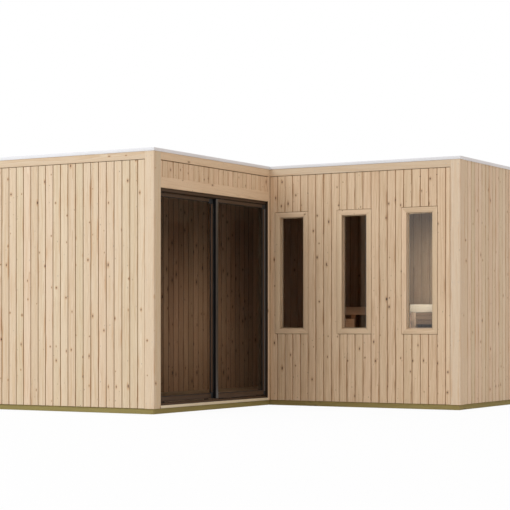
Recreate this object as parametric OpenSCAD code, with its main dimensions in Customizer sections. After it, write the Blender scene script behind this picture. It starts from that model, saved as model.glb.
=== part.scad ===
// Sauna cabin: an L-shaped timber building with a flat roof.
// A long block stands on the left and a wing reaches out to the right behind a square notch.
// A two-leaf sliding door opens from the block into the notch, and the wing's front wall
// has three tall narrow windows. Benches stand along the back wall.
// Every wall is a framed panel with cladding boards outside and lining boards inside.
// Origin: centre of the footprint's bounding box, on the ground. X right, Y back, Z up.

/* [Footprint] */
// Width of the block, left side to the door side
block_w = 1953; // [1700:1:2800]
// Width of the wing, door side to the right side
wing_w = 2088; // [1700:1:3000]
// Depth of the notch, block front to wing front
notch_d = 2088; // [1700:1:3000]
// Whole depth, block front to back
cabin_d = 5190; // [4300:1:6600]

/* [Heights] */
// Height of the base beams
beam_h = 50; // [40:1:80]
// Height of the top of the cladding above the ground
eaves_h = 2388; // [2350:1:3000]
// Thickness of the roof panel above the ceiling boards
roof_t = 115; // [80:1:200]
// Height of the white flashing above the cladding
flashing_h = 30; // [15:1:60]
// Height of the floor surface above the ground
floor_z = 61; // [55:1:90]

/* [Walls] */
// Thickness of the corner, fascia and casing boards
trim_t = 24; // [18:1:30]
// Distance that the trim boards stand proud of the cladding
trim_proud = 4; // [2:1:8]
// Thickness of the framed wall panel
frame_t = 76; // [60:1:140]
// Thickness of the lining boards
lining_t = 14; // [10:1:20]
// Thickness of the floor boards
floor_t = 20; // [15:1:28]
// Distance that the base beams stand back from the wall face
beam_inset = 18; // [2:1:30]

/* [Boards] */
// Width of a corner board on a front or back face
corner_w = 99; // [70:1:150]
// Width of a corner board on a side face
corner_side_w = 84; // [60:1:150]
// Width of the strip between the door and the inner corner
inner_strip_w = 31; // [20:1:80]
// Height of the fascia boards
fascia_h = 70; // [40:1:120]
// Height of the board over the door
header_h = 97; // [60:1:150]
// Gap at each cut joint between boards
board_gap = 2; // [1:0.5:4]

/* [Door] */
// Height of the wooden door sill above the base beam
sill_h = 25; // [15:1:60]
// Height of the door opening above its sill
door_h = 1989; // [1800:1:2000]
// Thickness of the door frame's side channels
jamb_w = 6; // [4:1:20]
// Height of the door frame's head
head_h = 28; // [20:1:60]
// Height of the door frame's bottom track
track_h = 20; // [15:1:50]
// Distance from the block's front face to the near edge of the right leaf
meet_y = 1101; // [1050:1:1250]
// Distance that the two leaves lap each other where they meet
meet_lap = 24; // [15:1:42]
// Width of a leaf's stiles
stile_w = 42; // [30:1:70]
// Height of a leaf's top rail
top_rail_h = 32; // [25:1:80]
// Height of a leaf's bottom rail
bottom_rail_h = 46; // [30:1:120]
// Thickness of a leaf
leaf_t = 30; // [24:1:40]
// Clearance between a leaf and whatever it passes
leaf_gap = 6; // [5:0.5:10]
// Height of a track's running rib
rib_h = 3; // [2:0.5:8]
// Thickness of all glass
glass_t = 6; // [4:1:10]

/* [Windows] */
// Width of a window opening
window_w = 274; // [200:1:400]
// Height of a window opening
window_h = 1121; // [700:1:1250]
// Height of a window opening's lower edge above the ground
window_z = 775; // [500:1:900]
// Distance from the inner corner to the first window's centre
window_first = 252; // [200:1:400]
// Distance from the last window's centre to the outer corner
window_last = 424; // [400:1:600]
// Width of the casing boards
casing_w = 51; // [40:1:100]
// Thickness of the window frame round the opening
window_frame_t = 20; // [15:1:40]
// Depth of the window frame's inner edge behind the wall's face
window_frame_d = 86; // [75:1:100]
// Depth of the glass behind the wall's face
glass_set = 36; // [32:1:60]

/* [Benches] */
// Height of the right bench above the ground
bench_right_z = 1044; // [900:1:1150]
// Height of the left bench above the ground
bench_left_z = 1020; // [900:1:1150]
// Depth of both benches
bench_d = 600; // [450:1:800]
// Height of the bench front boards
bench_board_h = 90; // [60:1:120]
// Thickness of bench boards
bench_board_t = 28; // [20:1:40]
// Width of a bench leg
bench_leg_w = 60; // [40:1:100]
// Distance that the left bench reaches left of the door side
bench_left_reach = 900; // [700:1:1300]
// Distance that the left bench's lower board stops left of the door side
bench_lower_stop = 256; // [150:1:500]
// Distance from the door side to the meeting ends of the benches
bench_meet = 446; // [200:1:600]
// Height of the left bench's lower board
bench_lower_h = 110; // [80:1:200]
// Gap between the left bench's two front boards
bench_lower_gap = 44; // [20:1:80]
// Height of each skirt board under the right bench
skirt_board_h = 48; // [30:1:80]
// Distance of the skirt boards behind the right bench's front board
skirt_in = 40; // [30:1:60]

/* [Hidden] */

PINE = [0.82, 0.72, 0.58];
LINING = [0.72, 0.58, 0.43];
TREATED = [0.55, 0.50, 0.30];
BRONZE = [0.22, 0.21, 0.20];
WHITE = [0.93, 0.92, 0.90];
FELT = [0.35, 0.35, 0.36];
GLASS = [0.55, 0.60, 0.62, 0.4];

// Lines of the plan, measured from the origin
cabin_w = block_w + wing_w;
x_left = -cabin_w / 2;
x_door = x_left + block_w;
x_right = cabin_w / 2;
y_front = -cabin_d / 2;
y_notch = y_front + notch_d;
y_back = cabin_d / 2;

// Depths measured inwards from the wall's face
wall_t = trim_t + frame_t + lining_t;
clad_t = trim_t - trim_proud;
core_in = trim_t + frame_t;
joist_h = floor_z - floor_t;

// Levels
roof_z = eaves_h - roof_t;
ceiling_z = roof_z - lining_t;
fascia_z = eaves_h - fascia_h;
opening_z = beam_h + sill_h;
opening_top = opening_z + door_h;
header_z = opening_top + header_h;
felt_t = 4;

// The door opening along Y
door_y0 = y_front + wall_t;
door_y1 = y_notch - inner_strip_w;

// The door frame's lip lies just behind the wall's face, its head and track further in
lip_in = 2;
head_in = 24;

// The two leaves: the right one runs on the outer track, the left one on the inner
outer_leaf_in = head_in + 1;
inner_leaf_in = outer_leaf_in + leaf_t + leaf_gap;
frame_in = inner_leaf_in + leaf_t + leaf_gap;
outer_track = outer_leaf_in + leaf_t / 2;
inner_track = inner_leaf_in + leaf_t / 2;
leaf_z0 = opening_z + track_h + rib_h + leaf_gap;
leaf_z1 = opening_top - head_h - rib_h - leaf_gap;
right_leaf_y0 = y_front + meet_y;
right_leaf_y1 = door_y1 - jamb_w - leaf_gap;
left_leaf_y0 = door_y0 + jamb_w + leaf_gap;
left_leaf_y1 = right_leaf_y0 + meet_lap;
glass_bite = 10;
rib_t = 4;

// Rollers under each leaf and guides on top, running just clear of the ribs
roller_t = 14;
roller_len = 60;
roller_gap = 0.3;
roller_end = 90;

// Windows
window_gap = (wing_w - window_first - window_last) / 2;
window_x = [for (i = [0:2]) x_door + window_first + i * window_gap];

// Roof edge
flashing_w = 60;
flashing_out = 6;
felt_in = flashing_w - flashing_out;

// Benches
bench_y0 = y_back - wall_t - bench_d;
bench_y1 = y_back - wall_t;
bench_meet_x = x_door + bench_meet;
bench_left_x0 = x_door - bench_left_reach;
bench_stop_x = x_door - bench_lower_stop;
bench_right_x1 = x_right - wall_t;
slat_count = 6;
slat_gap = 12;
bearer_w = 45;
bearer_gap = 0.3;
skirt_count = 3;
skirt_gap = 4;
skirt_t = 20;
left_legs = [bench_left_x0, bench_stop_x - bench_leg_w, bench_meet_x - board_gap - bench_leg_w];
right_legs = [bench_meet_x, (bench_meet_x + bench_right_x1 - bench_leg_w) / 2,
    bench_right_x1 - bench_leg_w];

// A box given by its low and high corners
module slab(x0, x1, y0, y1, z0, z1) {
    translate([x0, y0, z0]) cube([x1 - x0, y1 - y0, z1 - z0]);
}

// The same box around each window, grown sideways and up by `grow`, at a depth range in the wall
module window_boxes(grow, d0, d1) {
    for (x = window_x)
        slab(x - window_w / 2 - grow, x + window_w / 2 + grow, y_notch + d0, y_notch + d1,
            window_z - grow, window_z + window_h + grow);
}

// ---- Base and floor ----
// Beams along X under the block's front, the wing's front and the back
module base_beams_cross() {
    color(TREATED) {
        slab(x_left + beam_inset, x_door - beam_inset,
            y_front + beam_inset, y_front + wall_t, 0, beam_h);
        slab(x_door - beam_inset, x_right - beam_inset,
            y_notch + beam_inset, y_notch + wall_t, 0, beam_h);
        slab(x_left + beam_inset, x_right - beam_inset,
            y_back - wall_t, y_back - beam_inset, 0, beam_h);
    }
}

// Beams along Y under the left side, the door side and the right side
module base_beams_side() {
    color(TREATED) {
        slab(x_left + beam_inset, x_left + wall_t, y_front + wall_t, y_back - wall_t, 0, beam_h);
        slab(x_door - wall_t, x_door - beam_inset, y_front + wall_t, y_notch + wall_t, 0, beam_h);
        slab(x_right - wall_t, x_right - beam_inset, y_notch + wall_t, y_back - wall_t, 0, beam_h);
    }
}

// Joists along X, spread evenly under each stretch of floor
module joist_row(x0, x1, y0, y1, joist_pitch, joist_w) {
    bays = max(2, round((y1 - y0) / joist_pitch));
    for (i = [1:bays - 1]) {
        y = y0 + i * (y1 - y0) / bays;
        slab(x0, x1, y - joist_w / 2, y + joist_w / 2, 0, joist_h);
    }
}

module floor_joists() {
    color(TREATED) {
        joist_row(x_left + wall_t, x_door - wall_t, y_front + wall_t, y_notch + wall_t, 500, 45);
        joist_row(x_left + wall_t, x_right - wall_t, y_notch + wall_t, y_back - wall_t, 500, 45);
    }
}

module floor_block() {
    color(LINING)
        slab(x_left + wall_t, x_door - wall_t, y_front + wall_t, y_back - wall_t, joist_h, floor_z);
}

module floor_wing() {
    color(LINING)
        slab(x_door - wall_t, x_right - wall_t, y_notch + wall_t, y_back - wall_t, joist_h, floor_z);
}

// ---- Framed wall panels ----
module front_wall() {
    color(PINE)
        slab(x_left + trim_t, x_door - trim_t, y_front + trim_t, y_front + core_in, beam_h, roof_z);
}

module left_wall() {
    color(PINE)
        slab(x_left + trim_t, x_left + core_in, y_front + core_in, y_back - core_in, beam_h, roof_z);
}

module back_wall() {
    color(PINE)
        slab(x_left + trim_t, x_right - trim_t, y_back - core_in, y_back - trim_t, beam_h, roof_z);
}

module right_wall() {
    color(PINE)
        slab(x_right - core_in, x_right - trim_t, y_notch + core_in, y_back - core_in, beam_h, roof_z);
}

module wing_front_wall() {
    color(PINE) difference() {
        slab(x_door - trim_t, x_right - trim_t, y_notch + trim_t, y_notch + core_in, beam_h, roof_z);
        window_boxes(window_frame_t, 0, wall_t);
    }
}

// Post at the inner corner, between the door and the wing
module door_post() {
    color(PINE)
        slab(x_door - core_in, x_door - trim_t, door_y1, y_notch + core_in, beam_h, roof_z);
}

// Beam over the door, from the front wall's lining to the post
module door_header() {
    color(PINE)
        slab(x_door - core_in, x_door - trim_t, door_y0, door_y1, opening_top, roof_z);
}

// Wooden sill that the door frame stands on
module door_sill() {
    color(PINE) slab(x_door - wall_t, x_door, door_y0, door_y1, beam_h, opening_z);
}

// ---- Cladding ----
module front_cladding() {
    color(PINE)
        slab(x_left + corner_w + board_gap, x_door - corner_w - board_gap,
            y_front + trim_proud, y_front + trim_t, beam_h, fascia_z - board_gap);
}

module left_cladding() {
    color(PINE)
        slab(x_left + trim_proud, x_left + trim_t,
            y_front + trim_t + corner_side_w + board_gap, y_back - trim_t - corner_side_w - board_gap,
            beam_h, eaves_h);
}

module back_cladding() {
    color(PINE)
        slab(x_left + corner_w + board_gap, x_right - corner_w - board_gap,
            y_back - trim_t, y_back - trim_proud, beam_h, eaves_h);
}

module right_cladding() {
    color(PINE)
        slab(x_right - trim_t, x_right - trim_proud,
            y_notch + trim_t + corner_side_w + board_gap, y_back - trim_t - corner_side_w - board_gap,
            beam_h, eaves_h);
}

module wing_front_cladding() {
    color(PINE) difference() {
        slab(x_door, x_right - corner_w - board_gap,
            y_notch + trim_proud, y_notch + trim_t, beam_h, fascia_z - board_gap);
        window_boxes(casing_w + board_gap, 0, wall_t);
    }
}

// Short boards between the fascia and the board over the door
module header_cladding() {
    color(PINE)
        slab(x_door - trim_t, x_door - trim_proud, door_y0, door_y1 - board_gap,
            header_z + board_gap, fascia_z - board_gap);
}

// ---- Lining ----
// Lining on the walls along X, cut round the windows
module lining_cross() {
    color(LINING) {
        slab(x_left + core_in, x_door - trim_t,
            y_front + core_in, y_front + wall_t, beam_h, ceiling_z);
        slab(x_left + core_in, x_right - core_in,
            y_back - wall_t, y_back - core_in, beam_h, ceiling_z);
        difference() {
            slab(x_door - core_in, x_right - core_in,
                y_notch + core_in, y_notch + wall_t, beam_h, ceiling_z);
            window_boxes(window_frame_t, 0, wall_t + 1);
        }
    }
}

// Lining on the walls along Y and on the inner face round the door
module lining_side() {
    color(LINING) {
        slab(x_left + core_in, x_left + wall_t,
            y_front + wall_t, y_back - wall_t, beam_h, ceiling_z);
        slab(x_right - wall_t, x_right - core_in,
            y_notch + wall_t, y_back - wall_t, beam_h, ceiling_z);
        slab(x_door - wall_t, x_door - core_in, y_front + wall_t, door_y1, opening_top, ceiling_z);
        slab(x_door - wall_t, x_door - core_in, door_y1, y_notch + wall_t, beam_h, ceiling_z);
    }
}

module ceiling_block() {
    color(LINING)
        slab(x_left + core_in, x_door - core_in, y_front + core_in, y_back - core_in,
            ceiling_z, roof_z);
}

module ceiling_wing() {
    color(LINING)
        slab(x_door - core_in, x_right - core_in, y_notch + core_in, y_back - core_in,
            ceiling_z, roof_z);
}

// ---- Trim boards ----
// Corner boards on the faces along X, at the block front, wing front and back
module corner_boards_face() {
    color(PINE) {
        slab(x_left, x_left + corner_w, y_front, y_front + trim_t, beam_h, eaves_h);
        slab(x_door - corner_w, x_door, y_front, y_front + trim_t, beam_h, eaves_h);
        slab(x_right - corner_w, x_right, y_notch, y_notch + trim_t, beam_h, eaves_h);
        slab(x_left, x_left + corner_w, y_back - trim_t, y_back, beam_h, eaves_h);
        slab(x_right - corner_w, x_right, y_back - trim_t, y_back, beam_h, eaves_h);
    }
}

// Corner boards on the faces along Y, standing behind the edges of the face boards
module corner_boards_side() {
    color(PINE) {
        slab(x_left, x_left + trim_t, y_front + trim_t, y_front + trim_t + corner_side_w,
            beam_h, eaves_h);
        slab(x_door - trim_t, x_door, y_front + trim_t, door_y0, beam_h, eaves_h);
        slab(x_right - trim_t, x_right, y_notch + trim_t, y_notch + trim_t + corner_side_w,
            beam_h, eaves_h);
        slab(x_left, x_left + trim_t, y_back - trim_t - corner_side_w, y_back - trim_t,
            beam_h, eaves_h);
        slab(x_right - trim_t, x_right, y_back - trim_t - corner_side_w, y_back - trim_t,
            beam_h, eaves_h);
    }
}

module inner_corner_strip() {
    color(PINE) slab(x_door - trim_t, x_door, door_y1, y_notch + trim_proud, beam_h, fascia_z - board_gap);
}

module header_board() {
    color(PINE) slab(x_door - trim_t, x_door, door_y0, door_y1, opening_top, header_z);
}

// Fascia boards on the block's front and the wing's front
module fascia_cross() {
    color(PINE) {
        slab(x_left + corner_w, x_door - corner_w, y_front, y_front + trim_t, fascia_z, eaves_h);
        slab(x_door, x_right - corner_w, y_notch, y_notch + trim_t, fascia_z, eaves_h);
    }
}

module fascia_door_side() {
    color(PINE) slab(x_door - trim_t, x_door, door_y0, y_notch + trim_t, fascia_z, eaves_h);
}

// ---- Roof ----
module roof_panel_block() {
    color(PINE)
        slab(x_left + trim_t, x_door - trim_t, y_front + trim_t, y_back - trim_t, roof_z, eaves_h);
}

module roof_panel_wing() {
    color(PINE)
        slab(x_door - trim_t, x_right - trim_t, y_notch + trim_t, y_back - trim_t, roof_z, eaves_h);
}

// Roofing felt inside the raised edge
module roof_felt_block() {
    color(FELT)
        slab(x_left + felt_in, x_door - felt_in, y_front + felt_in, y_back - felt_in,
            eaves_h, eaves_h + felt_t);
}

module roof_felt_wing() {
    color(FELT)
        slab(x_door - felt_in, x_right - felt_in, y_notch + felt_in, y_back - felt_in,
            eaves_h, eaves_h + felt_t);
}

// White raised edge along X, over the block's front, the wing's front and the back
module flashing_cross() {
    color(WHITE) {
        slab(x_left - flashing_out, x_door + flashing_out,
            y_front - flashing_out, y_front - flashing_out + flashing_w,
            eaves_h, eaves_h + flashing_h);
        slab(x_door + flashing_out, x_right + flashing_out,
            y_notch - flashing_out, y_notch - flashing_out + flashing_w,
            eaves_h, eaves_h + flashing_h);
        slab(x_left - flashing_out, x_right + flashing_out,
            y_back + flashing_out - flashing_w, y_back + flashing_out,
            eaves_h, eaves_h + flashing_h);
    }
}

// White raised edge along Y, between the cross pieces
module flashing_side() {
    front_end = y_front - flashing_out + flashing_w;
    wing_end = y_notch - flashing_out + flashing_w;
    back_end = y_back + flashing_out - flashing_w;
    color(WHITE) {
        slab(x_left - flashing_out, x_left - flashing_out + flashing_w, front_end, back_end,
            eaves_h, eaves_h + flashing_h);
        slab(x_door + flashing_out - flashing_w, x_door + flashing_out, front_end, wing_end,
            eaves_h, eaves_h + flashing_h);
        slab(x_right + flashing_out - flashing_w, x_right + flashing_out, wing_end, back_end,
            eaves_h, eaves_h + flashing_h);
    }
}

// ---- Windows ----
module window_casings() {
    color(PINE) difference() {
        window_boxes(casing_w, 0, trim_t);
        window_boxes(0, -1, trim_t + 1);
    }
}

module window_frames() {
    color(PINE) difference() {
        window_boxes(window_frame_t, trim_t, window_frame_d);
        window_boxes(0, trim_t - 1, window_frame_d + 1);
        window_boxes(glass_bite, glass_set, glass_set + glass_t);
    }
}

module window_glass() {
    color(GLASS) window_boxes(glass_bite, glass_set, glass_set + glass_t);
}

// ---- Sliding door ----
// Side channels of the frame, as deep as the wall or as both tracks, whichever is more
module door_jambs() {
    color(BRONZE) for (y = [door_y0, door_y1 - jamb_w])
        slab(x_door - max(wall_t, frame_in), x_door - lip_in, y, y + jamb_w, opening_z, opening_top);
}

// A head or a track between the side channels, with one rib for each leaf
module track_piece(z0, z1, rib_z0) {
    slab(x_door - frame_in, x_door - head_in, door_y0 + jamb_w, door_y1 - jamb_w, z0, z1);
    for (track = [outer_track, inner_track])
        slab(x_door - track - rib_t / 2, x_door - track + rib_t / 2,
            door_y0 + jamb_w, door_y1 - jamb_w, rib_z0, rib_z0 + rib_h);
}

module door_head() {
    head_z = opening_top - head_h;
    color(BRONZE) track_piece(head_z, opening_top, head_z - rib_h);
}

module door_track() {
    track_top = opening_z + track_h;
    color(BRONZE) track_piece(opening_z, track_top, track_top);
}

// A leaf's two stiles, grooved for its glass
module leaf_stiles(track, y0, y1) {
    difference() {
        for (y = [y0, y1 - stile_w])
            slab(x_door - track - leaf_t / 2, x_door - track + leaf_t / 2, y, y + stile_w,
                leaf_z0, leaf_z1);
        leaf_glass(track, y0, y1);
    }
}

// A leaf's two rails between the stiles, with rollers under it and guides on top
module leaf_rails(track, y0, y1) {
    difference() {
        for (z = [[leaf_z0, leaf_z0 + bottom_rail_h], [leaf_z1 - top_rail_h, leaf_z1]])
            slab(x_door - track - leaf_t / 2, x_door - track + leaf_t / 2,
                y0 + stile_w, y1 - stile_w, z[0], z[1]);
        leaf_glass(track, y0, y1);
    }
    for (y = [y0 + roller_end, y1 - roller_end - roller_len],
         z = [leaf_z0 - leaf_gap + roller_gap, leaf_z1])
        slab(x_door - track - roller_t / 2, x_door - track + roller_t / 2, y, y + roller_len,
            z, z + leaf_gap - roller_gap);
}

// A leaf's glass, held in a groove all round
module leaf_glass(track, y0, y1) {
    slab(x_door - track - glass_t / 2, x_door - track + glass_t / 2,
        y0 + stile_w - glass_bite, y1 - stile_w + glass_bite,
        leaf_z0 + bottom_rail_h - glass_bite, leaf_z1 - top_rail_h + glass_bite);
}

module left_leaf_stiles() { color(BRONZE) leaf_stiles(inner_track, left_leaf_y0, left_leaf_y1); }
module left_leaf_rails() { color(BRONZE) leaf_rails(inner_track, left_leaf_y0, left_leaf_y1); }
module left_leaf_glass() { color(GLASS) leaf_glass(inner_track, left_leaf_y0, left_leaf_y1); }
module right_leaf_stiles() { color(BRONZE) leaf_stiles(outer_track, right_leaf_y0, right_leaf_y1); }
module right_leaf_rails() { color(BRONZE) leaf_rails(outer_track, right_leaf_y0, right_leaf_y1); }
module right_leaf_glass() { color(GLASS) leaf_glass(outer_track, right_leaf_y0, right_leaf_y1); }

// ---- Benches ----
// Slats along X from x0 to x1 with the top at z, on a bearer along Y over each leg.
// Each bearer's back end rests just clear of the wall's lining.
module bench_seat(x0, x1, z, legs) {
    depth = bench_d - bench_board_t;
    slat_w = depth / slat_count - slat_gap;
    for (i = [0:slat_count - 1]) {
        y = bench_y0 + bench_board_t + i * (slat_w + slat_gap);
        slab(x0, x1, y, y + slat_w, z - bench_board_t, z);
    }
    for (x = legs)
        slab(x, x + bearer_w, bench_y0 + bench_board_t, bench_y1 - bearer_gap,
            z - bench_board_t - bearer_w, z - bench_board_t);
}

module bench_seat_left() {
    color(LINING) bench_seat(bench_left_x0, bench_meet_x, bench_left_z, left_legs);
}

module bench_seat_right() {
    color(LINING) bench_seat(bench_meet_x, bench_right_x1, bench_right_z, right_legs);
}

// Front boards of both benches, the left one's lower board and the right one's skirt boards
module bench_boards() {
    lower_top = bench_left_z - bench_board_h - bench_lower_gap;
    skirt_top = bench_right_z - bench_board_t - bearer_w;
    color(LINING) {
        front_board(bench_left_x0, bench_meet_x - board_gap,
            bench_left_z - bench_board_h, bench_left_z);
        front_board(bench_left_x0, bench_stop_x, lower_top - bench_lower_h, lower_top);
        front_board(bench_meet_x, bench_right_x1, bench_right_z - bench_board_h, bench_right_z);
        for (bay = [0, 1], i = [0:skirt_count - 1]) {
            z = skirt_top - i * (skirt_board_h + skirt_gap);
            slab(right_legs[bay] + bench_leg_w, right_legs[bay + 1],
                bench_y0 + skirt_in, bench_y0 + skirt_in + skirt_t, z - skirt_board_h, z);
        }
    }
}

module front_board(x0, x1, z0, z1) {
    slab(x0, x1, bench_y0, bench_y0 + bench_board_t, z0, z1);
}

// Legs from the floor to the bearers
module bench_legs() {
    color(LINING) {
        for (x = left_legs) bench_leg(x, bench_left_z);
        for (x = right_legs) bench_leg(x, bench_right_z);
    }
}

module bench_leg(x, z) {
    slab(x, x + bench_leg_w, bench_y0 + bench_board_t, bench_y0 + bench_board_t + bench_leg_w,
        floor_z, z - bench_board_t - bearer_w);
}

base_beams_cross();
base_beams_side();
floor_joists();
floor_block();
floor_wing();
front_wall();
left_wall();
back_wall();
right_wall();
wing_front_wall();
door_post();
door_header();
door_sill();
front_cladding();
left_cladding();
back_cladding();
right_cladding();
wing_front_cladding();
header_cladding();
lining_cross();
lining_side();
ceiling_block();
ceiling_wing();
corner_boards_face();
corner_boards_side();
inner_corner_strip();
header_board();
fascia_cross();
fascia_door_side();
roof_panel_block();
roof_panel_wing();
roof_felt_block();
roof_felt_wing();
flashing_cross();
flashing_side();
window_casings();
window_frames();
window_glass();
door_jambs();
door_head();
door_track();
left_leaf_stiles();
left_leaf_rails();
left_leaf_glass();
right_leaf_stiles();
right_leaf_rails();
right_leaf_glass();
bench_seat_left();
bench_seat_right();
bench_boards();
bench_legs();
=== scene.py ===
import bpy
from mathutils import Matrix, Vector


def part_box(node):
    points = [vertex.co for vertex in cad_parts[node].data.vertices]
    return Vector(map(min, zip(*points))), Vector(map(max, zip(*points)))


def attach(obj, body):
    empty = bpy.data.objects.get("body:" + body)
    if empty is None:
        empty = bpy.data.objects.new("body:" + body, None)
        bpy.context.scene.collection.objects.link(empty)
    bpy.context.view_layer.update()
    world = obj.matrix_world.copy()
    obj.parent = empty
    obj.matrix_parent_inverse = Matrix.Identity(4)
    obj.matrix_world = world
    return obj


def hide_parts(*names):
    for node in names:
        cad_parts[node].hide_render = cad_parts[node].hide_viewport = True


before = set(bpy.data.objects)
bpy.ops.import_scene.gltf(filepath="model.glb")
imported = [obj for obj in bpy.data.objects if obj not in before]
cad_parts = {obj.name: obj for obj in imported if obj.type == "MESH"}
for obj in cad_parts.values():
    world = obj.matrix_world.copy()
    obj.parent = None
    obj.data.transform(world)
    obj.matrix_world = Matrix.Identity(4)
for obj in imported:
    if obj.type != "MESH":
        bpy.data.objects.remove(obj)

"""The looks of a timber sauna cabin: boards, trim, windows, sliding door, roof and benches.

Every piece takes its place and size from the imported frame. All wood comes from one Geometry Nodes
tree that lays a row of boards, and each board carries its own grain coordinates and a random number.
"""

import logging
import math
from dataclasses import dataclass, field, replace
from enum import Enum
from functools import cache
from typing import Any

import bmesh
import bpy
from mathutils import Matrix, Vector

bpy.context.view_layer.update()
MM = 0.001
CUT_DEPTH = 60 * MM  # how far a cutter reaches past the window part that gives its shape
BITE = 10 * MM  # how deep a pane sits in its groove
GRAIN_SPREAD = 40.0  # length over which the boards' places in the grain are spread, in metres
GOLDEN = 0.6180339  # step that spreads draws evenly between 0 and 1
PANEL_DRAW = 0.37  # the random number of pieces that store none of their own
LOG = logging.getLogger("sauna_cabin")

Box = tuple[Vector, Vector]
Colour = tuple[float, float, float]


# ---------------------------------------------------------------------------------------------
# Directions and boxes
# ---------------------------------------------------------------------------------------------
class Axis(Enum):
    """A signed direction of the frame."""

    LEFT = (-1, 0, 0)
    RIGHT = (1, 0, 0)
    FRONT = (0, -1, 0)
    BACK = (0, 1, 0)
    DOWN = (0, 0, -1)
    UP = (0, 0, 1)

    @property
    def vector(self) -> Vector:
        """The direction as a unit vector."""
        return Vector(self.value)


def span(box: Box, **limits: tuple[float | None, float | None]) -> Box:
    """Copies a box with new limits along some axes.

    Args:
        box: The box.
        **limits: For an axis, its new lower and upper limit, where None keeps the old one.

    Returns:
        The new box.
    """
    corners = box[0].copy(), box[1].copy()
    for axis, pair in limits.items():
        for corner, limit in zip(corners, pair):
            if limit is not None:
                setattr(corner, axis, limit)
    return corners


def solids(node: str) -> list[Box]:
    """Finds the box of each separate solid in a CAD node.

    Args:
        node: The CAD node's name.

    Returns:
        One (lowest corner, highest corner) for each solid, sorted by their lowest corners.
    """
    shell = bmesh.new()
    shell.from_mesh(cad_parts[node].data)
    bmesh.ops.remove_doubles(shell, verts=shell.verts, dist=0.02 * MM)
    todo = set(shell.verts)
    boxes = []
    while todo:
        reached = [todo.pop()]
        for vert in reached:
            fresh = {edge.other_vert(vert) for edge in vert.link_edges} & todo
            todo -= fresh
            reached += fresh
        places = list(zip(*(vert.co for vert in reached)))
        boxes.append((Vector([min(p) for p in places]), Vector([max(p) for p in places])))
    shell.free()
    return sorted(boxes, key=lambda box: tuple(round(c, 4) for c in box[0]))


def local_frame(box: Box, outward: Axis, grain: Axis) -> tuple[Matrix, Vector]:
    """Works out the frame of a row of boards that fills a box.

    Args:
        box: The box that the boards fill.
        outward: The side that the boards show.
        grain: The direction of the boards' length.

    Returns:
        The matrix from the row's own frame (X across the boards, Y into the wall, Z along the
        grain) to the object's, and the row's size in its own frame.
    """
    low, high = box
    depth, along = -outward.vector, grain.vector
    across = depth.cross(along)
    corner = Vector([low[i] if (across + depth + along)[i] > 0 else high[i] for i in range(3)])
    turn = Matrix((across, depth, along)).transposed().to_4x4()
    size = Vector([abs((high - low).dot(d)) for d in (across, depth, along)])
    return Matrix.Translation(corner) @ turn, size


def add_box(shell: bmesh.types.BMesh, box: Box) -> None:
    """Adds a plain box to a mesh under construction."""
    for vert in bmesh.ops.create_cube(shell, size=1.0)["verts"]:
        vert.co = Vector([box[0][i] if vert.co[i] < 0 else box[1][i] for i in range(3)])


# ---------------------------------------------------------------------------------------------
# Node trees
# ---------------------------------------------------------------------------------------------
class Value:
    """A socket of a node tree, on which plain arithmetic adds Math nodes."""

    def __init__(self, tree: "Tree", socket: bpy.types.NodeSocket) -> None:
        """Keeps the socket and the helper of its tree."""
        self.tree = tree
        self.socket = socket

    def __add__(self, other: Any) -> "Value":
        """Adds another value or number."""
        return self.tree.math("ADD", self, other)

    def __sub__(self, other: Any) -> "Value":
        """Takes another value or number away."""
        return self.tree.math("SUBTRACT", self, other)

    def __mul__(self, other: Any) -> "Value":
        """Multiplies by another value or number."""
        return self.tree.math("MULTIPLY", self, other)

    def __truediv__(self, other: Any) -> "Value":
        """Divides by another value or number."""
        return self.tree.math("DIVIDE", self, other)

    def __rsub__(self, other: float) -> "Value":
        """Takes this value away from a number."""
        return self.tree.math("SUBTRACT", other, self)


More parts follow.
